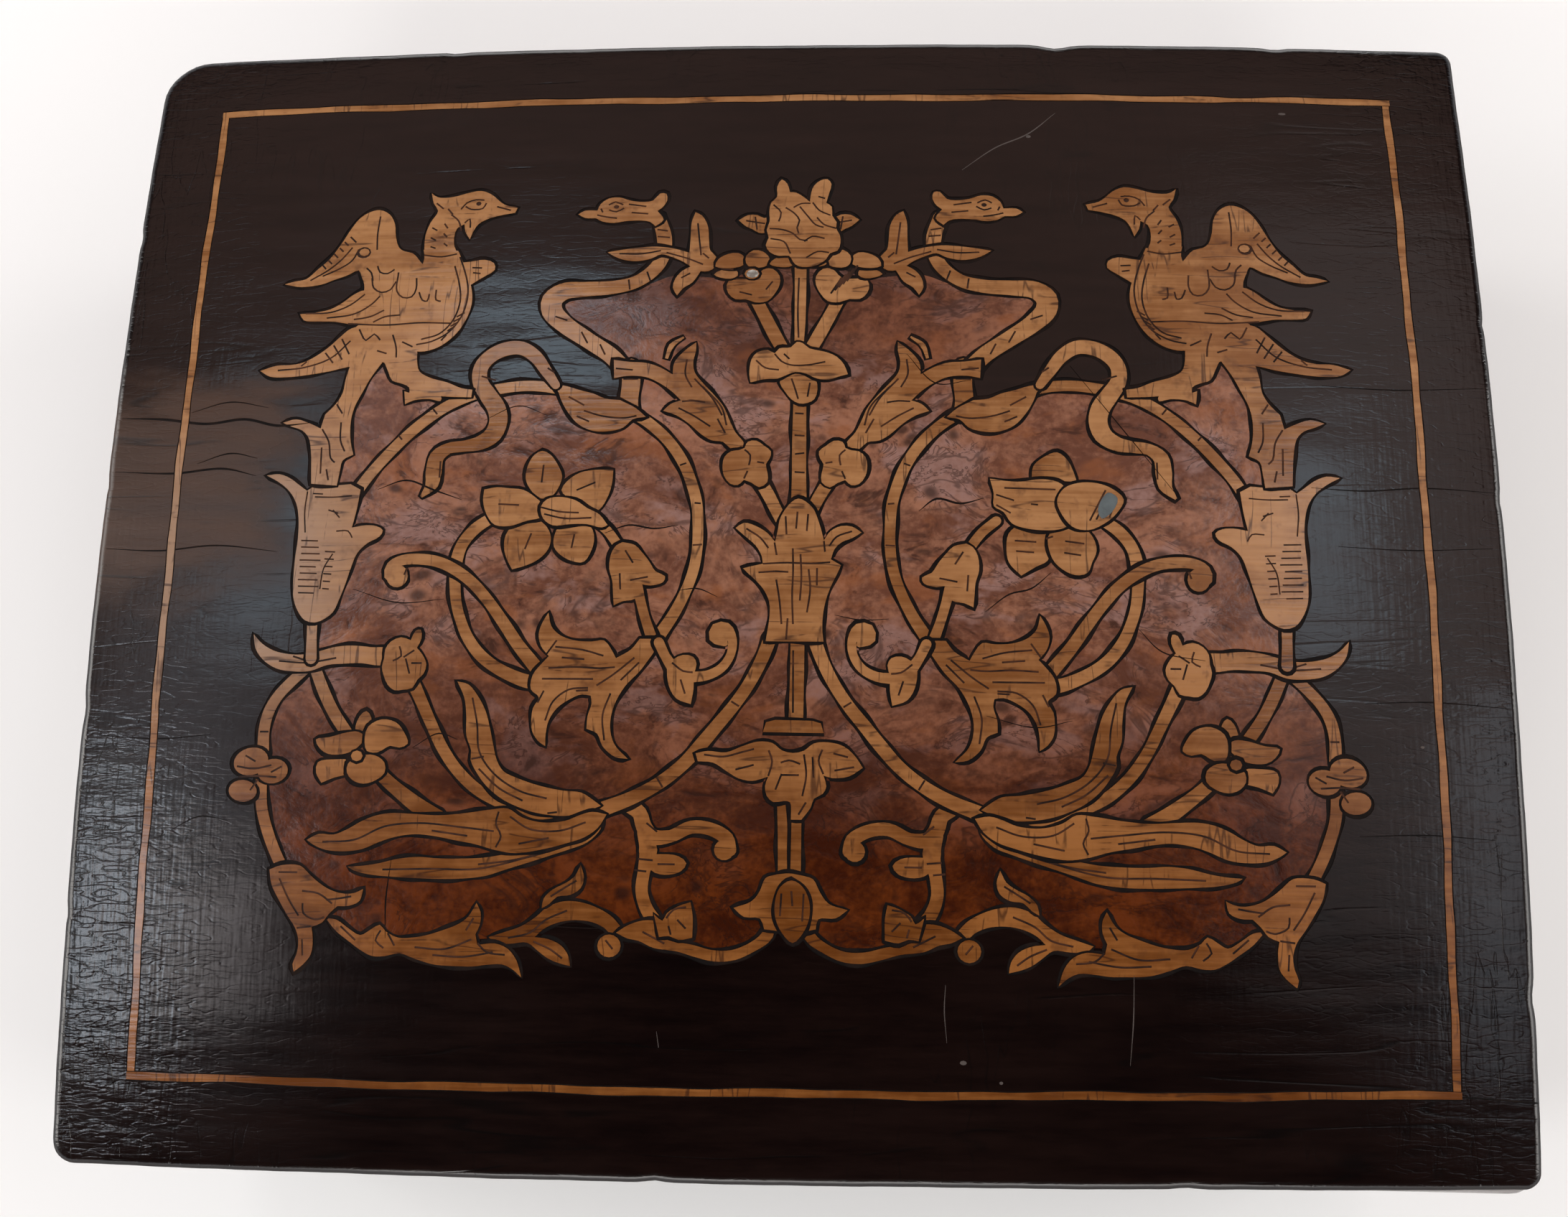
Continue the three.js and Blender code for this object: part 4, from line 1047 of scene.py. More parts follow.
def drawBottomBand(p):
    p.light(outline([
        (-47.8, -63.6, tip), (-45, -62.7), (-42.5, -61.8), (-40, -60.2), (-38.3, -58.7), (-35.4, -57.7),
        (-32.1, -58), (-29.2, -59.1), (-27.5, -60.2), (-26.2, -61.6, tip), (-27.4, -63), (-28.8, -61.9),
        (-30.8, -61), (-33.8, -60.7), (-36.7, -61.2), (-38.8, -62.2), (-40.2, -63.5, tip), (-37.9, -63.8),
        (-35.8, -64.8), (-34.6, -66.4), (-34.3, -68, tip), (-36.3, -67.5), (-38, -66.8), (-39.7, -65.6),
        (-41.4, -64.4), (-44.2, -64.6), (-46.7, -64.5),
    ]), lines=[[(-44.6, -63.7), (-41, -62.8), (-38.6, -60.8), (-35, -59.2)],
               [(-40.4, -64.2), (-37.6, -65.4), (-35.6, -66.8)]])
    p.light(outline([
        (-33, -51.9, tip), (-32.4, -53.9), (-32.9, -55.6), (-34.6, -56.7), (-36.7, -57), (-38, -58.2),
        (-39.2, -58.9, tip), (-38.9, -57.3), (-37.5, -55.9), (-35.4, -54.8), (-34, -53.8),
    ]), lines=[[(-33.6, -54.4), (-35.6, -55.6), (-37.8, -57)]])
    p.light(outline([
        (-75.2, -60.9, tip), (-73.3, -61.2), (-71.3, -62.5), (-69.2, -63.6), (-67.5, -62.7), (-66, -61.9),
        (-65, -62.9), (-62.9, -63.9), (-60.8, -63.9), (-58.3, -63.5), (-55.4, -62.6), (-52.9, -61.6),
        (-51.3, -60.4), (-50, -58.2, tip), (-49.3, -59.6), (-49.3, -61.6), (-50, -63.2, tip),
        (-49.6, -64.9, tip), (-48.3, -64.7), (-46.7, -64.6), (-44.6, -65.4), (-43.1, -67.2),
        (-42.2, -69.9, tip), (-43.8, -68.6), (-45.4, -67.9), (-47.9, -68), (-50.2, -68.3), (-52.5, -68.3),
        (-56.7, -68.1), (-60, -67.2), (-62.5, -66.4), (-65, -66.9), (-67.1, -66.9), (-69.2, -65.9),
        (-70.8, -64.8), (-73.3, -63),
    ]), lines=[
        [(-65.8, -62.8), (-66.6, -64.4), (-65.2, -65.6)], [(-64.6, -63.2), (-63.4, -65.2)],
        [(-60, -65.4), (-55, -65.6), (-50.6, -64)], [(-57, -66.6), (-52, -66.8), (-47, -66)],
        [(-49.6, -64.6), (-48, -66), (-45, -66.4)], [(-72.6, -62.2), (-70, -64.4)],
        [(-50.4, -60.6), (-51.6, -62.6)],
    ])
    tendril = stem([(-25.6, -42), (-23.6, -43.4), (-22.8, -45.6), (-21.4, -47.2), (-18.4, -47.1),
                    (-15, -45.6), (-11.8, -45.9), (-9.2, -47.4), (-8.6, -49.2)],
                   [2.4, 2.4, 2.6, 2.6, 2.0, 2.1, 2.1, 2.3, 2.0])
    p.light(tendril, disc(-9.6, -49.2, 3.3, 3.3),
            stem([(-22.8, -46.4), (-22, -49.4), (-22.6, -52.8), (-22.9, -56), (-22, -58.8), (-20.4, -61)],
                 [2.2, 3.0, 2.0, 2.0, 2.1, 2.2]),
            outline([(-22, -50.4), (-19.6, -50), (-17, -50.3), (-15.7, -51.4), (-16.6, -52.7),
                     (-19.2, -53.3), (-21.4, -52.6)]),
            lines=[[(-20.4, -51.6), (-17.6, -51.6)], [(-23.6, -50.8), (-21.2, -51)],
                   [(-22.4, -45), (-20.6, -46.4)], [(-24.2, -52.6), (-22.2, -52.8)]])
    p.light(outline([
        (-26.9, -62.6, tip), (-25, -61.4), (-22.5, -60.6), (-20.4, -60.8), (-20, -62.8), (-18.3, -63.7),
        (-14.6, -64.3), (-11.3, -65.1), (-8.3, -65.1), (-5.8, -64.2), (-3.8, -62.9), (-2.4, -61.4),
        (-1.3, -62.2), (-2.1, -63.7), (-4.6, -65.3), (-7.5, -66.6), (-10.8, -66.9), (-14.2, -66.2),
        (-17, -65.4), (-20.8, -64.9), (-23.3, -63.8), (-25, -63.5),
    ]), disc(-28, -64.7, 3.8, 3.6), lines=[[(-22.6, -62.4), (-19, -64.2)],
                                           [(-28.6, -63.8), (-27.4, -65.2)]])
    p.light(outline([
        (-20.8, -59.6, tip), (-19.4, -60.6), (-18.7, -59.4), (-16.7, -58.2), (-14.9, -57.6, tip),
        (-14.5, -59.8), (-14.5, -63.2, tip), (-16.7, -63.6), (-18.3, -63), (-19.9, -63.2, tip),
    ]), lines=[[(-18.8, -60.2), (-17.6, -58.8), (-15.6, -58.4)], [(-18.4, -61.4), (-18, -62.8)],
               [(-17, -60.4), (-15.6, -61.8)]])


def drawFoot(p):
    p.light(stem([(1.9, -14.5), (1.9, -20), (1.8, -28.6)], [2.3, 2.3, 2.4], False), mirror=False, lines=[
        [(1.2, -16.4), (1.3, -26.8)],
    ])
    p.light(np.array([(-3.6, -30.0), (6.4, -30.1), (5.9, -28.5), (4.5, -28.1), (-1.6, -28.0),
                      (-3.1, -28.4)]), mirror=False)
    p.light(outline([
        (0.2, -41, tip), (0.6, -45), (0.6, -49), (0.7, -53.4, tip), (-0.8, -53.4, tip), (-0.9, -47),
        (-1.1, -41, tip),
    ]), mirror=False)
    p.light(outline([(1.3, -44.2, tip), (1.2, -53.4, tip), (2.9, -53.4, tip), (2.9, -44.2, tip)]),
            mirror=False)
    p.light(outline([
        (-14.6, -33.6, tip), (-12.6, -33.2), (-9.6, -33.4), (-7, -32.4), (-4.4, -31.6), (-2, -31.8),
        (-0.4, -33), (1.4, -33.4), (3.2, -33), (4.8, -31.8), (7.2, -31.6), (9.8, -32.3), (11.6, -33.9),
        (12.8, -35.7, tip), (10.6, -37.1), (7.8, -37.4), (6.4, -37, tip), (6.9, -38.8), (6.3, -40),
        (4.9, -40.8), (4.4, -42.2), (2.9, -44.2, tip), (1.2, -44.2, tip), (1, -41.4), (0, -41.2),
        (-1.7, -41.4), (-2.8, -40.4), (-3.1, -38.8), (-2.6, -37.3, tip), (-5.2, -38), (-7.5, -37.6),
        (-9.4, -36.5), (-11.7, -35.1), (-14.2, -34.9, tip),
    ]), mirror=False, lines=[
        [(-13.2, -33.8), (-10, -34.1), (-7.2, -33.4), (-5, -32.8)],
        [(-2.6, -37.2), (-2, -34.8), (-2.6, -33)],
        [(6.4, -36.8), (5.6, -34.6), (6.2, -32.8)], [(3.2, -33.6), (3.6, -37), (3, -40.4)],
        [(4.6, -34), (4.8, -37.4)], [(-0.6, -35), (0.8, -34.6), (2.6, -35.2)], [(-0.4, -37), (2.4, -37)],
        [(8.2, -36.2), (11.4, -35.6)],
        [(-8, -36.2), (-5, -35.4)], [(-1.4, -39.4), (-0.4, -36.8)], [(8, -33.4), (10.4, -34)],
        [(3.6, -41.4), (2.4, -43.4)],
    ])
    p.light(outline([
        (-1, -53, tip), (-2.8, -53.6), (-3.7, -55.7), (-5, -57.3), (-7.9, -58.4, tip), (-6.2, -59.8),
        (-3.6, -60), (-2.9, -61.7, tip), (-0.6, -62), (1.4, -62.6), (3.6, -62), (5.4, -61.6, tip),
        (5.8, -60), (8.6, -59.8), (10.5, -58.5, tip), (7.4, -57.5), (6, -55.7), (4.9, -53.7),
        (3, -53.1, tip), (1, -52.8),
    ]), mirror=False)
    p.light(outline([
        (1.4, -53.9), (-0.4, -55), (-1.2, -57.2), (-1.1, -60), (0, -62.3), (1.7, -63.8), (3.3, -62.3),
        (4.3, -60), (4.3, -57.2), (3.2, -54.9),
    ]), mirror=False, lines=[[(-0.2, -56), (-0.4, -59.6)], [(3.4, -56), (3.2, -60.4)],
                             [(1.4, -55.6), (1.6, -58)]])


# cracks in the veneers: points, then width at its middle
cracks = [
    ([(-119, 25.6), (-111, 25.2), (-103, 24.2), (-96, 24.9), (-90, 23.6), (-84, 24)], 0.5),
    ([(-119, 15.6), (-108, 15.1), (-99, 15.8), (-93, 14.4)], 0.42),
    ([(-104, 16.8), (-98, 18.6), (-93, 17.6)], 0.3),
    ([(-119, 1.6), (-109, 1.1), (-99, 1.9), (-88, 0.7)], 0.3),
    ([(-106, 26.4), (-99, 28.2), (-92, 27)], 0.28),
    ([(-117, -31), (-106, -31.6), (-97, -30.9)], 0.26),
    ([(-119, -44.4), (-112, -44.8), (-104, -44.2)], 0.26),
    ([(-103, -47), (-98, -44.6), (-93, -45.2)], 0.22),
    ([(-119, -62.5), (-110, -62.2), (-102, -62.8)], 0.24),
    ([(88, 12.6), (97, 12.2), (107, 12.9), (119, 12.4)], 0.26),
    ([(92, 2.4), (104, 2), (118, 2.6)], 0.22),
    ([(95, -24), (106, -23.6), (119, -24.4)], 0.26),
    ([(93, -45.6), (104, -45.2), (115, -45.8)], 0.24),
    ([(91, 31), (103, 30.5), (119, 31.2)], 0.24),
    ([(-65, -64), (-65.2, -58), (-64.6, -51.5)], 0.3),
    ([(-74, -6), (-66, -8.4), (-58, -7.8)], 0.24),
    ([(-53, 24), (-47, 26.6), (-42, 24.8)], 0.22),
    ([(20, 36), (25, 30.6), (31, 31.2)], 0.26),
    ([(58, -12), (62, -16), (69, -17.4)], 0.24),
    ([(33, -27), (41, -28.8), (47, -27.6)], 0.22),
    ([(48, 34), (57, 22), (66, 10)], 0.2),
    ([(-71, 11.6), (-66, 13.2), (-61, 11.4), (-56, 9.6)], 0.34),
    ([(-31, 3.6), (-27, 5), (-22.6, 4.4), (-18.6, 5)], 0.32),
    ([(-18.4, -6.4), (-15, -6), (-11.6, -7.4)], 0.26),
    ([(22, 7.6), (25, 9.8), (29, 9), (33, 10)], 0.4),
    ([(33, -9.6), (37, -6.6), (40.6, -5.6), (44, -2.8)], 0.28),
    ([(8, -10.4), (12.4, -11.2), (17, -11)], 0.24),
    ([(-62, -33), (-57.6, -30.6), (-54.4, -31.6)], 0.26),
]

scuffs = [
    stem([(30, 72), (36, 76.6), (42, 79.6), (47, 84)], [0.08, 0.2, 0.24, 0.06], False),
    disc(42, 79, 0.9, 0.6),
    disc(29, -82, 1.1, 0.7),
    disc(35, -85, 0.6, 0.5),
    stem([(26.2, -70), (26, -74), (26.4, -79)], [0.06, 0.16, 0.05], False),
    stem([(56.2, -68), (56, -75), (55.4, -82)], [0.06, 0.18, 0.05], False),
    stem([(-20, -78), (-19.6, -80.5)], [0.06, 0.14], False),
    disc(104, -31, 0.7, 0.4),
    disc(88, 84.5, 1.4, 0.5),
]


def drawWear(p):
    for points, wide in cracks:
        ends = [drawing["crackEnd"]]
        p.group += 1
        p.plain("kerf", stem(points, ends + [wide] * (len(points) - 2) + ends, False))
    for shape in scuffs:
        p.group += 1
        p.plain("scuff", shape)
    # an open join in the ground at the front right corner
    p.group += 1
    p.plain("kerf", stem([(107.8, -86), (113, -86.3), (120.5, -86.8)], 0.24, False))


def drawPattern():
    p = Pattern()
    # stem ends lie under the leaves and buds laid after them
    for draw in (
        drawBurrPanels, drawBottomBand, drawRing, drawLowerLeaves, drawSideFlowers, drawFoot, drawHusk,
        drawRibbon, drawInnerFlower, drawInnerAcanthus, drawRepairedFlower, drawSerpent, drawAcanthusTop,
        drawTopStems, drawTopSprays, drawRose, drawBellFlower, drawVase, drawBird, drawWear,
    ):
        draw(p)
    return p


lid = {
    "halfWidth": 120.7,
    "halfDepth": 100.8,
    "left": -120.62, "right": 120.62, "back": 100.2, "front": -100.76,
    "drawingShift": 0.8,      # the drawing's own middle lies this far behind the lid's
    "cornerRound": (3.8, 2.8, 2.6, 8.6),   # front left, front right, back right, back left
    "shoulder": 86.5,
    "crownAcross": 4.8,
    "crownDeep": 6.8,
    "veneer": 0.9,
    "edgeRound": 1.1,
    "edgeWave": 0.13,
    "boardBase": 80.0,
    "boardWaist": 81.6,       # where the board's side turns out to the rims
    "boardInset": 0.05,
    "boardCorner": 3.2,
    "pointsEachSide": 150,
    "pointsEachCorner": 8,
    "gridStep": 7.5,
    "gridSlant": 0.01,
    "boardGridStep": 8.0,
    "edgeZone": (112, 92),    # only points beyond these lines can lie on the rounding
    # the front edge runs back at both ends: how far, over what length, how sharply
    "frontRiseFrom": -15,
    "frontRiseRight": (1.15, 122, 1.5),
    "frontRiseLeft": (0.35, 90, 2),
    # bites out of the edge: where, how wide and how deep
    "bites": [
        (47.5, 100.2, 2.6, 0.8), (-20, -100, 1.6, 0.35), (120, -70, 2.0, 0.45), (-120, -26, 2.4, 0.4),
        (88, 100.2, 1.8, 0.4), (-120, 62, 1.6, 0.35), (64, -100, 2.2, 0.3), (120, 12, 1.4, 0.3),
        (120, 44, 1.1, 0.3), (-120, 14, 1.2, 0.3), (-64, 100.2, 1.4, 0.3), (-120, -60, 1.1, 0.3),
    ],
}

stringing = {
    "width": 1.2,
    "glue": 0.2,
    "wave": 0.10,
    "frontBow": 1.05,
    "steps": 60,
    "wornFrom": 79, "wornTo": 83, "wornWidth": 0.62,   # a thin stretch of the back string
    "ends": {
        "front_stringing": ((-107.9, -86.7), (107.9, -85.7)),
        "back_stringing": ((-107.9, 87.0), (107.9, 87.4)),
        "left_stringing": ((-107.2, -86.0), (-107.1, 86.3)),
        "right_stringing": ((107.1, -85.2), (107.2, 86.7)),
    },
}


# a rounded rectangle, always with the same number of points
def roundedPath(x0, x1, y0, y1, radii, wave=0.0):
    corners = [(x0, y0, 180), (x1, y0, 270), (x1, y1, 0), (x0, y1, 90)]
    inward = [(1, 1), (-1, 1), (-1, -1), (1, -1)]
    points = []
    for i, (cx, cy, start) in enumerate(corners):
        r = radii[i]
        ox, oy = cx + inward[i][0] * r, cy + inward[i][1] * r
        for k in range(lid["pointsEachCorner"] + 1):
            a = math.radians(start + 90 * k / lid["pointsEachCorner"])
            points.append((ox + r * math.cos(a), oy + r * math.sin(a)))
        j = (i + 1) % 4
        nx, ny, _ = corners[j]
        last = points[-1]
        if i % 2 == 0:
            goal = (nx + inward[j][0] * radii[j], last[1])
        else:
            goal = (last[0], ny + inward[j][1] * radii[j])
        for k in range(1, lid["pointsEachSide"]):
            t = k / lid["pointsEachSide"]
            points.append((last[0] + (goal[0] - last[0]) * t, last[1] + (goal[1] - last[1]) * t))
    path = np.array(points)
    if wave:
        way = np.arange(len(path))
        out = path / np.maximum(1, np.hypot(path[:, 0], path[:, 1]))[:, None]
        ripple = np.sin(way * 0.21) + 0.7 * np.sin(way * 0.53 + 1.3) + 0.5 * np.sin(way * 1.37 + 0.4)
        path = path - np.sign(out) * (wave * (0.5 + 0.25 * ripple))[:, None] * (np.abs(out) > 0.2)
    return path


def edgePath():
    path = roundedPath(lid["left"], lid["right"], lid["front"], lid["back"],
                       lid["cornerRound"], lid["edgeWave"])
    for x, y, wide, deep in lid["bites"]:
        away = np.hypot(path[:, 0] - x, path[:, 1] - y)
        pull = deep * np.exp(-((away / wide) ** 2))
        path[:, 1] -= np.sign(y) * pull * (abs(y) > 90)
        path[:, 0] -= np.sign(x) * pull * (abs(x) > 110)
    away = np.abs(path[:, 0] - lid["frontRiseFrom"])
    right, left = (rise * (away / length) ** power
                   for rise, length, power in (lid["frontRiseRight"], lid["frontRiseLeft"]))
    rise = np.where(path[:, 0] > lid["frontRiseFrom"], right, left)
    path[:, 1] += np.where(path[:, 1] < -90, rise, 0)
    return path


def insetPath(path, amount):
    ahead = np.roll(path, -1, 0) - np.roll(path, 1, 0)
    ahead /= np.maximum(1e-9, np.hypot(ahead[:, 0], ahead[:, 1]))[:, None]
    return path + np.stack([-ahead[:, 1], ahead[:, 0]], 1) * amount


# how far each point lies inside the lid's edge
def depthIntoEdge(points, path):
    best = np.full(len(points), 1e9)
    ahead = np.roll(path, -1, 0) - path
    length = np.maximum(1e-9, (ahead ** 2).sum(1))
    for i in np.where((np.abs(points) > lid["edgeZone"]).any(1))[0]:
        rel = points[i] - path
        t = np.clip((rel * ahead).sum(1) / length, 0, 1)
        gap = rel - ahead * t[:, None]
        best[i] = math.sqrt((gap ** 2).sum(1).min())
    return best


def edgeDrop(points, path):
    r = lid["edgeRound"]
    inside = np.clip(depthIntoEdge(points, path), 0, r)
    return r - np.sqrt(np.maximum(0, r * r - (r - inside) ** 2))


def layStringing(p):
    steps = range(stringing["steps"] + 1)
    for node, (start, end) in stringing["ends"].items():
        line = []
        for k in steps:
            t = k / stringing["steps"]
            x = start[0] + (end[0] - start[0]) * t
            y = start[1] + (end[1] - start[1]) * t
            sway = stringing["wave"] * (math.sin(k * 0.5 + start[0]) + 0.6 * math.sin(k * 1.31 + start[1]))
            if node == "front_stringing":
                y -= stringing["frontBow"] * (1 - (2 * t - 1) ** 2)
            line.append((x, y + sway) if abs(end[0] - start[0]) > 50 else (x + sway, y))
        widths = [stringing["width"] * (1 + 0.08 * math.sin(k * 0.9) + 0.05 * math.sin(k * 2.3))
                  for k in steps]
        if node == "back_stringing":
            for k in steps:
                if stringing["wornFrom"] < line[k][0] < stringing["wornTo"]:
                    widths[k] *= stringing["wornWidth"]
        p.group += 1
        p.plain("kerf", stem(line, [w + 2 * stringing["glue"] for w in widths], False))
        p.plain(node, stem(line, widths, False))


def insideOf(points, shape):
    x, y = points[:, 0], points[:, 1]
    inside = np.zeros(len(points), bool)
    ax, ay = shape[:, 0], shape[:, 1]
    bx, by = np.roll(ax, -1), np.roll(ay, -1)
    for k in range(len(shape)):
        crosses = (ay[k] > y) != (by[k] > y)
        if not crosses.any():
            continue
        at = ax[k] + (y - ay[k]) * (bx[k] - ax[k]) / (by[k] - ay[k] + 1e-15)
        inside ^= crosses & (x < at)
    return inside


# a flat plan cut along every outline laid in it
class Plan:
    def __init__(self):
        self.points = []
        self.edges = []

    def lay(self, shape):
        start = len(self.points)
        self.points.extend(Vector((float(x), float(y))) for x, y in shape)
        self.edges.extend((start + i, start + (i + 1) % len(shape)) for i in range(len(shape)))

    def dots(self, step, reachX, reachY, slant=0.0):
        for x in np.arange(-reachX, reachX + 1, step):
            for y in np.arange(-reachY, reachY + 1, step):
                self.points.append(Vector((float(x + slant * y), float(y))))

    def cut(self, sources=False):
        verts, _, faces, origin, _, _ = delaunay_2d_cdt(self.points, self.edges, [], 0, 1e-4, sources)
        return np.array([(v.x, v.y) for v in verts]), np.array([f for f in faces if len(f) == 3]), origin


def turning(plan, tris):
    a, b, c = plan[tris[:, 0]], plan[tris[:, 1]], plan[tris[:, 2]]
    return (b[:, 0] - a[:, 0]) * (c[:, 1] - a[:, 1]) - (b[:, 1] - a[:, 1]) * (c[:, 0] - a[:, 0])


# splits the lid's whole plan along every saw cut and says which wood each bit is
def cutVeneers():
    p = drawPattern()
    layStringing(p)
    edge = edgePath()
    sheet = Plan()
    sheet.lay(edge)
    for inset in (0.15, 0.45, 0.9, 1.5):
        sheet.lay(insetPath(edge, inset))
    for _, shape, _ in p.cuts:
        shape[:, 1] += lid["drawingShift"]
        sheet.lay(shape)
    sheet.dots(lid["gridStep"], 114, 94, lid["gridSlant"])
    plan, tris, _ = sheet.cut()
    turn = turning(plan, tris)
    tris[turn < 0] = tris[turn < 0][:, ::-1]
    middle = plan[tris].mean(1)
    keep = insideOf(middle, edge) & (np.abs(turn) > 1e-7)
    tris, middle = tris[keep], middle[keep]
    names = ["ground"]
    wood = np.zeros(len(tris), int)
    owner = np.zeros(len(tris), int)
    for kind, shape, group in p.cuts:
        if kind not in names:
            names.append(kind)
        low, high = shape.min(0), shape.max(0)
        near = np.where(((middle >= low) & (middle <= high)).all(1))[0]
        hit = near[insideOf(middle[near], shape)]
        wood[hit] = names.index(kind)
        owner[hit] = group
    return plan, tris, names, wood, owner, edgeDrop(plan, edge), edge


# presses a flat sheet over the lid's crown and gives it its thickness
def makePressTree():
    tree = bpy.data.node_groups.new("pressOverCrown", "GeometryNodeTree")
    face = tree.interface
    face.new_socket("Geometry", in_out="OUTPUT", socket_type="NodeSocketGeometry")
    face.new_socket("Geometry", in_out="INPUT", socket_type="NodeSocketGeometry")
    for name in ("Half Width", "Half Depth", "Shoulder", "Crown Across", "Crown Deep", "Thickness", "Lift"):
        face.new_socket(name, in_out="INPUT", socket_type="NodeSocketFloat")
    face.new_socket("Finish", in_out="INPUT", socket_type="NodeSocketMaterial")
    n = Nodes(tree)
    start = tree.nodes.new("NodeGroupInput")
    given = {socket.name: Wire(n, socket) for socket in start.outputs if socket.name}
    place = n.node("GeometryNodeInputPosition")
    plan = {}
    height = given["Shoulder"]
    for letter, half, crown in (("X", "Half Width", "Crown Across"), ("Y", "Half Depth", "Crown Deep")):
        plan[letter] = n.node("ShaderNodeSeparateXYZ", None, {0: place}, letter)
        share = plan[letter].maths("DIVIDE", plan[letter], given[half])
        height = height + (1.0 - share * share) * given[crown]
    drop = n.node("GeometryNodeInputNamedAttribute", {"data_type": "FLOAT"}, {"Name": "drop"}, "Attribute")
    height = height - drop + given["Lift"]
    pressed = n.node("ShaderNodeCombineXYZ", None, {**plan, "Z": height - given["Thickness"]})
    sheet = n.node("GeometryNodeSetPosition", None, {"Geometry": given["Geometry"], "Position": pressed})
    upward = n.node("ShaderNodeCombineXYZ", None, {"Z": given["Thickness"]})
    raised = n.node("GeometryNodeExtrudeMesh", {"mode": "FACES"},
                    {"Mesh": sheet, "Offset": upward, "Offset Scale": 1.0, "Individual": False}, "Mesh")
    under = n.node("GeometryNodeFlipFaces", None, {"Mesh": sheet})
    both = n.node("GeometryNodeJoinGeometry", None, {0: [raised, under]})
    welded = n.node("GeometryNodeMergeByDistance", None, {"Geometry": both, "Distance": 1e-7})
    smooth = n.node("GeometryNodeSetShadeSmooth", None, {"Geometry": welded, "Shade Smooth": True})
    real = n.node("GeometryNodeRealizeInstances", None, {"Geometry": smooth})
    made = n.node("GeometryNodeSetMaterial", None, {"Geometry": real, "Material": given["Finish"]})
    n.node("NodeGroupOutput", None, {0: made})
    return tree


def addObject(name, data):
    made = bpy.data.objects.new(name, data)
    bpy.context.scene.collection.objects.link(made)
    return made


def pieceFrom(name, verts, faces):
    mesh = bpy.data.meshes.new(name)
    mesh.from_pydata([tuple(v) for v in verts], [], [tuple(int(i) for i in f) for f in faces])
    mesh.update()
    return addObject(name, mesh)


def crisp(piece, degrees=35):
    piece.data.set_sharp_from_angle(angle=math.radians(degrees))


def smoothPiece(name, mesh, finish, degrees=35):
    for f in mesh.faces:
        f.smooth = True
    data = bpy.data.meshes.new(name)
    mesh.to_mesh(data)
    mesh.free()
    data.materials.clear()
    data.materials.append(finish)
    piece = addObject(name, data)
    crisp(piece, degrees)
    return piece


def runTree(piece, tree, values):
    modifier = piece.modifiers.new("press", "NODES")
    modifier.node_group = tree
    for item in tree.interface.items_tree:
        if item.item_type == "SOCKET" and item.in_out == "INPUT" and item.name in values:
            modifier[item.identifier] = values[item.name]
    bpy.context.view_layer.update()
    graph = bpy.context.evaluated_depsgraph_get()
    made = bpy.data.meshes.new_from_object(piece.evaluated_get(graph))
    made.name = piece.name
    piece.modifiers.remove(modifier)
    piece.data = made


# how far each wood stands above or below the lid's true surface
veneerLifts = {
    "ground": -0.05,
    "scuff": -0.05,
    "line": -0.08,
    "pearl": -0.02,
    "burr": -0.06,
    "kerf": -0.13,
    "putty": -0.05,
    "light": -0.01,
    "string": -0.04,
}


def buildVeneers(tree):
    plan, tris, names, wood, owner, drop, edge = cutVeneers()
    print("veneers cut:", len(tris), "faces")
    pieces = {}
    shades = np.random.default_rng(11).random(owner.max() + 2)
    for k, kind in enumerate(names):
        mine = tris[wood == k]
        if not len(mine):
            continue
        used, local = np.unique(mine, return_inverse=True)
        flat = np.column_stack([plan[used] * mm, np.zeros(len(used))])
        isString = kind.endswith("stringing")
        title = kind.replace("_stringing", "Stringing") if isString else kind + "Veneer"
        piece = pieceFrom(title, flat, local.reshape(-1, 3))
        stored = piece.data.attributes.new("drop", "FLOAT", "POINT")
        stored.data.foreach_set("value", (drop[used] * mm).astype(np.float32))
        tone = piece.data.attributes.new("shade", "FLOAT", "FACE")
        tone.data.foreach_set("value", shades[owner[wood == k]].astype(np.float32))
        look = "string" if isString else kind
        lift = veneerLifts[look] * mm
        runTree(piece, tree, {
            "Half Width": lid["halfWidth"] * mm,
            "Half Depth": lid["halfDepth"] * mm,
            "Shoulder": lid["shoulder"] * mm,
            "Crown Across": lid["crownAcross"] * mm,
            "Crown Deep": lid["crownDeep"] * mm,
            "Thickness": lid["veneer"] * mm + lift,
            "Lift": lift,
            "Finish": finishes[look],
        })
        crisp(piece)
        pieces[kind] = piece
        print("  ", piece.name, len(piece.data.polygons))
    return pieces, edge


def crownHeight(x, y):
    return (lid["shoulder"] + lid["crownAcross"] * (1 - (x / lid["halfWidth"]) ** 2)
            + lid["crownDeep"] * (1 - (y / lid["halfDepth"]) ** 2))


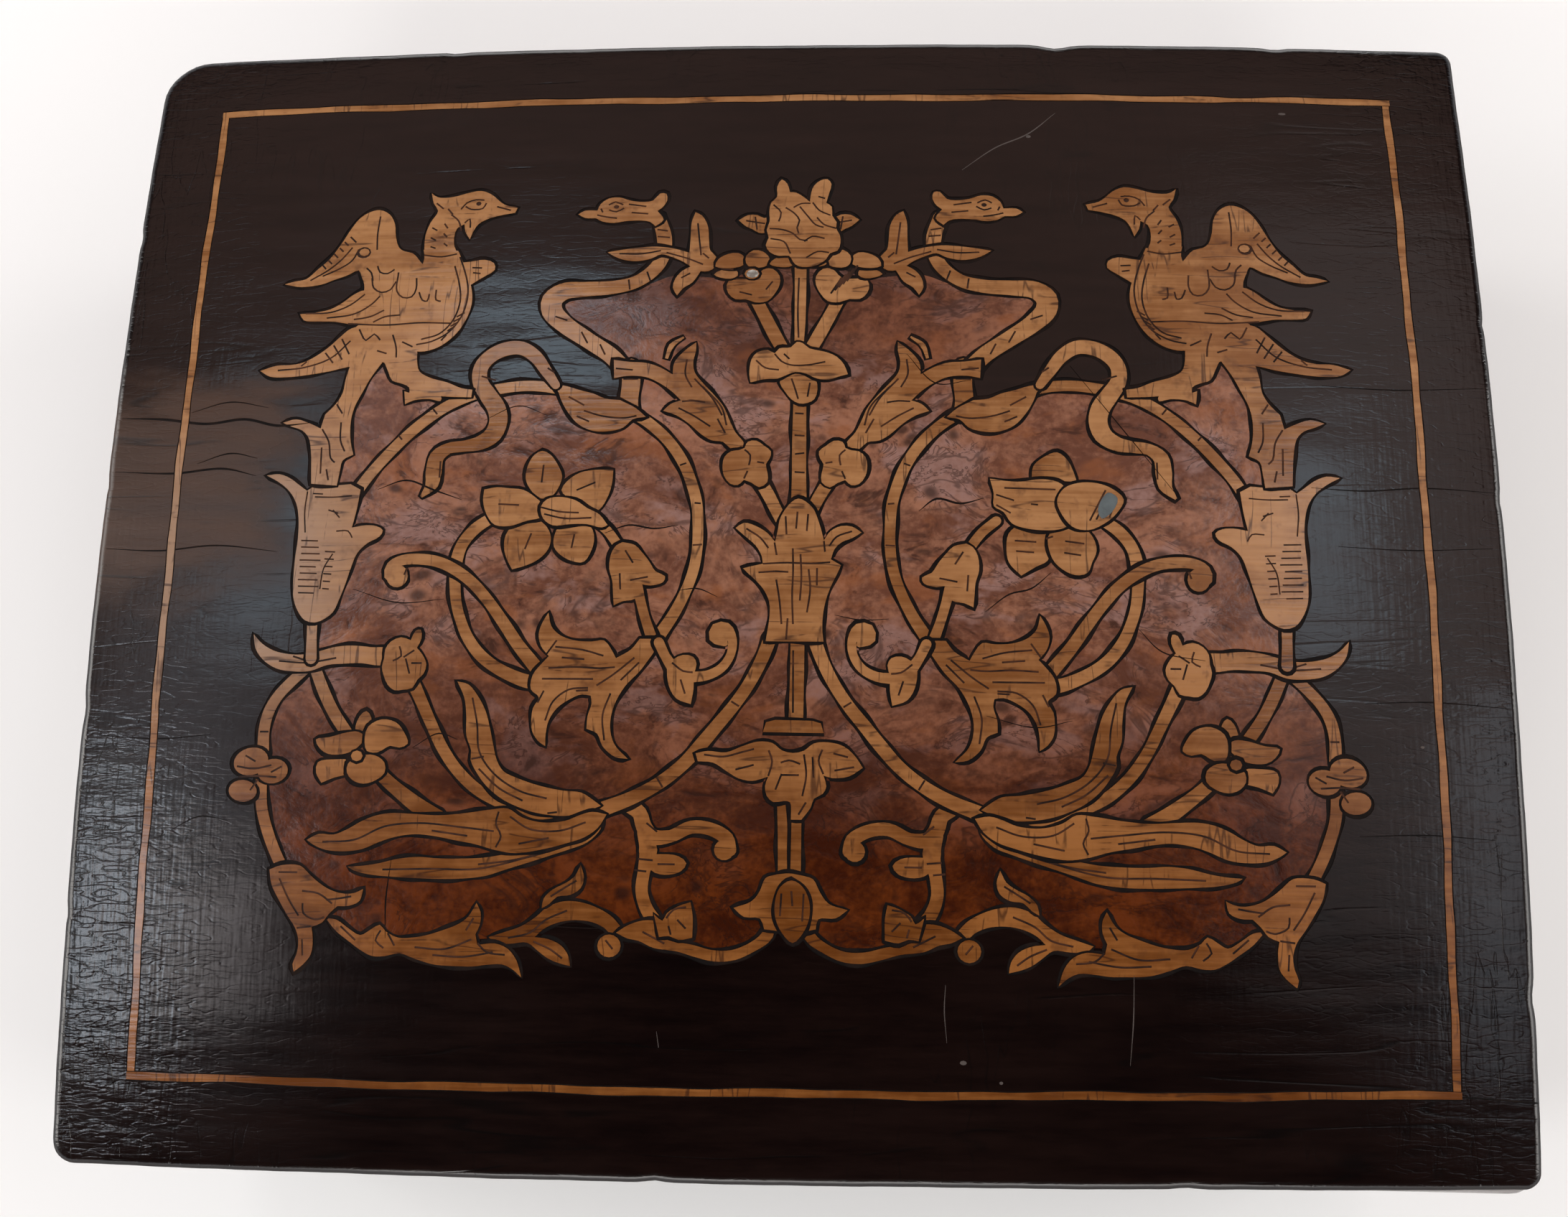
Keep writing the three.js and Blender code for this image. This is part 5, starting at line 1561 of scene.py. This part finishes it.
# the domed board under the veneers, its sides running out to the rims
def buildLidBoard(edge):
    wide, deep = lid["halfWidth"] - lid["boardInset"], lid["halfDepth"] - lid["boardInset"]
    foot = roundedPath(-wide, wide, -deep, deep, (lid["boardCorner"],) * 4)
    sheet = Plan()
    sheet.lay(edge)
    for inset in (0.45, 0.9, 1.5):
        sheet.lay(insetPath(edge, inset))
    sheet.dots(lid["boardGridStep"], 112, 92)
    plan, tris, origin = sheet.cut(True)
    tris = tris[insideOf(plan[tris].mean(1), edge)]
    turn = turning(plan, tris)
    tris[turn <= 0] = tris[turn <= 0][:, ::-1]
    top = crownHeight(plan[:, 0], plan[:, 1]) - edgeDrop(plan, edge) - lid["veneer"] - 0.005
    mesh = bmesh.new()

    def addPoint(x, y, z):
        return mesh.verts.new((x * mm, y * mm, z * mm))

    up = [addPoint(x, y, z) for (x, y), z in zip(plan, top)]
    for tri in tris:
        mesh.faces.new([up[i] for i in tri])
    count = len(edge)
    rim = [None] * count
    for i, sources in enumerate(origin):
        for s in sources:
            if s < count:
                rim[s] = up[i]
    waist = [addPoint(x * 0.8 + u * 0.2, y * 0.8 + v * 0.2, lid["boardWaist"])
             for (x, y), (u, v) in zip(foot, edge)]
    low = [addPoint(x, y, lid["boardBase"] + 0.02) for x, y in foot]
    for i in range(count):
        j = (i + 1) % count
        if rim[i] != rim[j]:
            mesh.faces.new((rim[i], waist[i], waist[j], rim[j]))
        mesh.faces.new((waist[i], low[i], low[j], waist[j]))
    mesh.faces.new(low[::-1])
    bmesh.ops.recalc_face_normals(mesh, faces=mesh.faces[:])
    return smoothPiece("lidBoard", mesh, finishes["side"])


boards = {
    "edgeBevel": 0.55,
    "bevelSteps": 3,
    "bevelFrom": 40,      # degrees between two faces
    "finishes": {
        "front_board": "side", "back_board": "side", "left_board": "sideDeep", "right_board": "sideDeep",
        "lid_front_rim": "side", "lid_back_rim": "side",
        "lid_left_rim": "sideDeep", "lid_right_rim": "sideDeep",
        "bottom_board": "carcass",
    },
}


# a CAD board copied, welded and given worn edges
def softenedCopy(node, name, finish):
    mesh = bmesh.new()
    mesh.from_mesh(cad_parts[node].data)
    bmesh.ops.remove_doubles(mesh, verts=mesh.verts[:], dist=1e-6)
    bmesh.ops.dissolve_limit(mesh, angle_limit=math.radians(1), verts=mesh.verts[:], edges=mesh.edges[:])
    bend = math.radians(boards["bevelFrom"])
    sharp = [e for e in mesh.edges if len(e.link_faces) == 2 and e.calc_face_angle() > bend]
    bmesh.ops.bevel(mesh, geom=sharp, offset=boards["edgeBevel"] * mm, segments=boards["bevelSteps"],
                    profile=0.6, affect="EDGES", clamp_overlap=True)
    return smoothPiece(name, mesh, finish, 30)


veneers, lidEdge = buildVeneers(makePressTree())
lidBoard = buildLidBoard(lidEdge)
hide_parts("lid_board")
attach(lidBoard, "root")
for kind, piece in veneers.items():
    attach(piece, "root")
    if kind.endswith("stringing"):
        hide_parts(kind)
    elif kind == "light":
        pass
    else:
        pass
print("lid dressed")

for node, finish in boards["finishes"].items():
    piece = softenedCopy(node, node.replace("_", "") + "Dressed", finishes[finish])
    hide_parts(node)
    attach(piece, "root")
print("boards dressed")


cameraValues = {
    "spot": (0.01178, -0.06541, 0.3565),
    "turn": (0.217, 0.0437, 0.0158),
    "lens": 36.54,
    "sensor": 36,
    "nearest": 0.01,
}
view = bpy.data.cameras.new("photoCamera")
view.lens = cameraValues["lens"]
view.sensor_width = cameraValues["sensor"]
view.clip_start = cameraValues["nearest"]
camera = addObject("photoCamera", view)
camera.location = cameraValues["spot"]
camera.rotation_euler = cameraValues["turn"]
bpy.context.scene.camera = camera

tones = {
    "floor": (0.985, 0.985, 0.98),
    "walls": (0.90, 0.94, 1.0),
    "warm": (1.0, 0.975, 0.945),
    "haze": (1.0, 0.66, 0.56),
    "cool": (0.80, 0.89, 1.0),
    "plain": (0.96, 0.88, 0.88),
    "blue": (0.62, 0.84, 1.0),
}

studio = {
    "floorReach": 1.35,
    "floorRoughness": 0.8,
    "wallRadiance": 0.9,
    "ceilingRadiance": 0.016,
    "wallTop": 0.42,
    "sideRadiance": 5.2,
    "sideDistance": 1.45,
    "sideWidth": 1.3,
    "sideHeight": 0.6,
    "sideAim": 0.06,
    # where each side panel stands in degrees, its share of the light, its level
    "sides": {
        "leftPanel": (180, 1.1, 0.9), "rightPanel": (0, 1.0, 0.9),
        "frontPanel": (270, 1.05, 0.9), "backPanel": (90, 0.5, 0.4),
    },
    "panelHeight": 1.5,
    "panelGap": 0.04,
    # the part of the lid that mirrors each panel in millimetres, its radiance and tone
    "panels": {
        "haze": (-125, 125, -16, 102, 0.42, "haze"),
        "hazeFoot": (-125, 125, -44, -16, 0.21, "haze"),
        "leftStreak": (-122, -111, -80, -40, 10.5, "cool"),
        "leftWindow": (-113, -89, -75, -50, 3.3, "plain"),
        "leftSideWindow": (-120, -84, -46, 4, 0.7, "cool"),
        "leftHuskWindow": (-94, -80, -14, 16, 2.6, "blue"),
        "leftBackWindow": (-62, -28, 31, 45, 4.2, "blue"),
        "leftLegWindow": (-94, -80, 20, 34, 2.0, "blue"),
        "rightWindow": (74, 122, -66, 64, 0.46, "plain"),
        "rightStreak": (80, 93, -14, 22, 2.4, "blue"),
        "rightEdge": (112, 123, -84, -20, 1.6, "cool"),
    },
}


def addLight(name, spot, goal, wide, tall, radiance, tone):
    lamp = bpy.data.lights.new(name, "AREA")
    lamp.shape = "RECTANGLE"
    lamp.size = wide
    lamp.size_y = tall
    lamp.energy = radiance * math.pi * wide * tall
    lamp.color = tones[tone]
    holder = addObject(name, lamp)
    holder.location = spot
    holder.rotation_euler = (Vector(goal) - Vector(spot)).to_track_quat("-Z", "Y").to_euler()


# a level panel hung where the lid, between these plan lines, mirrors it
def panelSeenIn(name, level, x0, x1, y0, y1, radiance, tone):
    hits = []
    for x, y in ((x0, y0), (x1, y0), (x0, y1), (x1, y1)):
        spot = Vector((x, y, crownHeight(x, y))) * mm
        up = Vector((2 * lid["crownAcross"] * x / lid["halfWidth"] ** 2,
                     2 * lid["crownDeep"] * y / lid["halfDepth"] ** 2, 1)).normalized()
        seen = (spot - Vector(cameraValues["spot"])).normalized()
        ray = seen.reflect(up)
        hits.append(spot + ray * ((level - spot.z) / ray.z))
    left, right = min(h.x for h in hits), max(h.x for h in hits)
    near, far = min(h.y for h in hits), max(h.y for h in hits)
    spot = Vector(((left + right) / 2, (near + far) / 2, level))
    addLight(name, spot, spot - Vector((0, 0, 1)), right - left, far - near, radiance, tone)


reach = studio["floorReach"]
corners = [(-reach, -reach, 0), (reach, -reach, 0), (reach, reach, 0), (-reach, reach, 0)]
floor = pieceFrom("paleFloor", corners, [(0, 1, 2, 3)])
floor.data.materials.append(newFinish("paleFloor").close(
    {"Base Color": tones["floor"], "Roughness": studio["floorRoughness"]}))

# pale walls round a dim ceiling, so that the lid stays dark from above
world = bpy.data.worlds.new("softRoom")
world.use_nodes = True
room = Nodes(world.node_tree)
sky = room.node("ShaderNodeTexCoord", output="Generated")
rise = room.node("ShaderNodeSeparateXYZ", None, {"Vector": sky}, 2)
walls = 1.0 - rise.span(studio["wallTop"] - 0.2, studio["wallTop"] + 0.1)
glow = walls * (studio["wallRadiance"] - studio["ceilingRadiance"]) + studio["ceilingRadiance"]
background = room.node("ShaderNodeBackground", None, {"Color": tones["walls"], "Strength": glow})
room.node("ShaderNodeOutputWorld", None, {"Surface": background})
bpy.context.scene.world = world
bpy.context.scene.view_settings.view_transform = "Standard"

for name, (degrees, share, level) in studio["sides"].items():
    way = math.radians(degrees)
    spot = (studio["sideDistance"] * math.cos(way), studio["sideDistance"] * math.sin(way), level)
    addLight(name, spot, (0, 0, studio["sideAim"]), studio["sideWidth"], studio["sideHeight"],
             studio["sideRadiance"] * share, "warm")
for k, (name, values) in enumerate(studio["panels"].items()):
    panelSeenIn(name, studio["panelHeight"] - studio["panelGap"] * k, *values)
print("studio set")
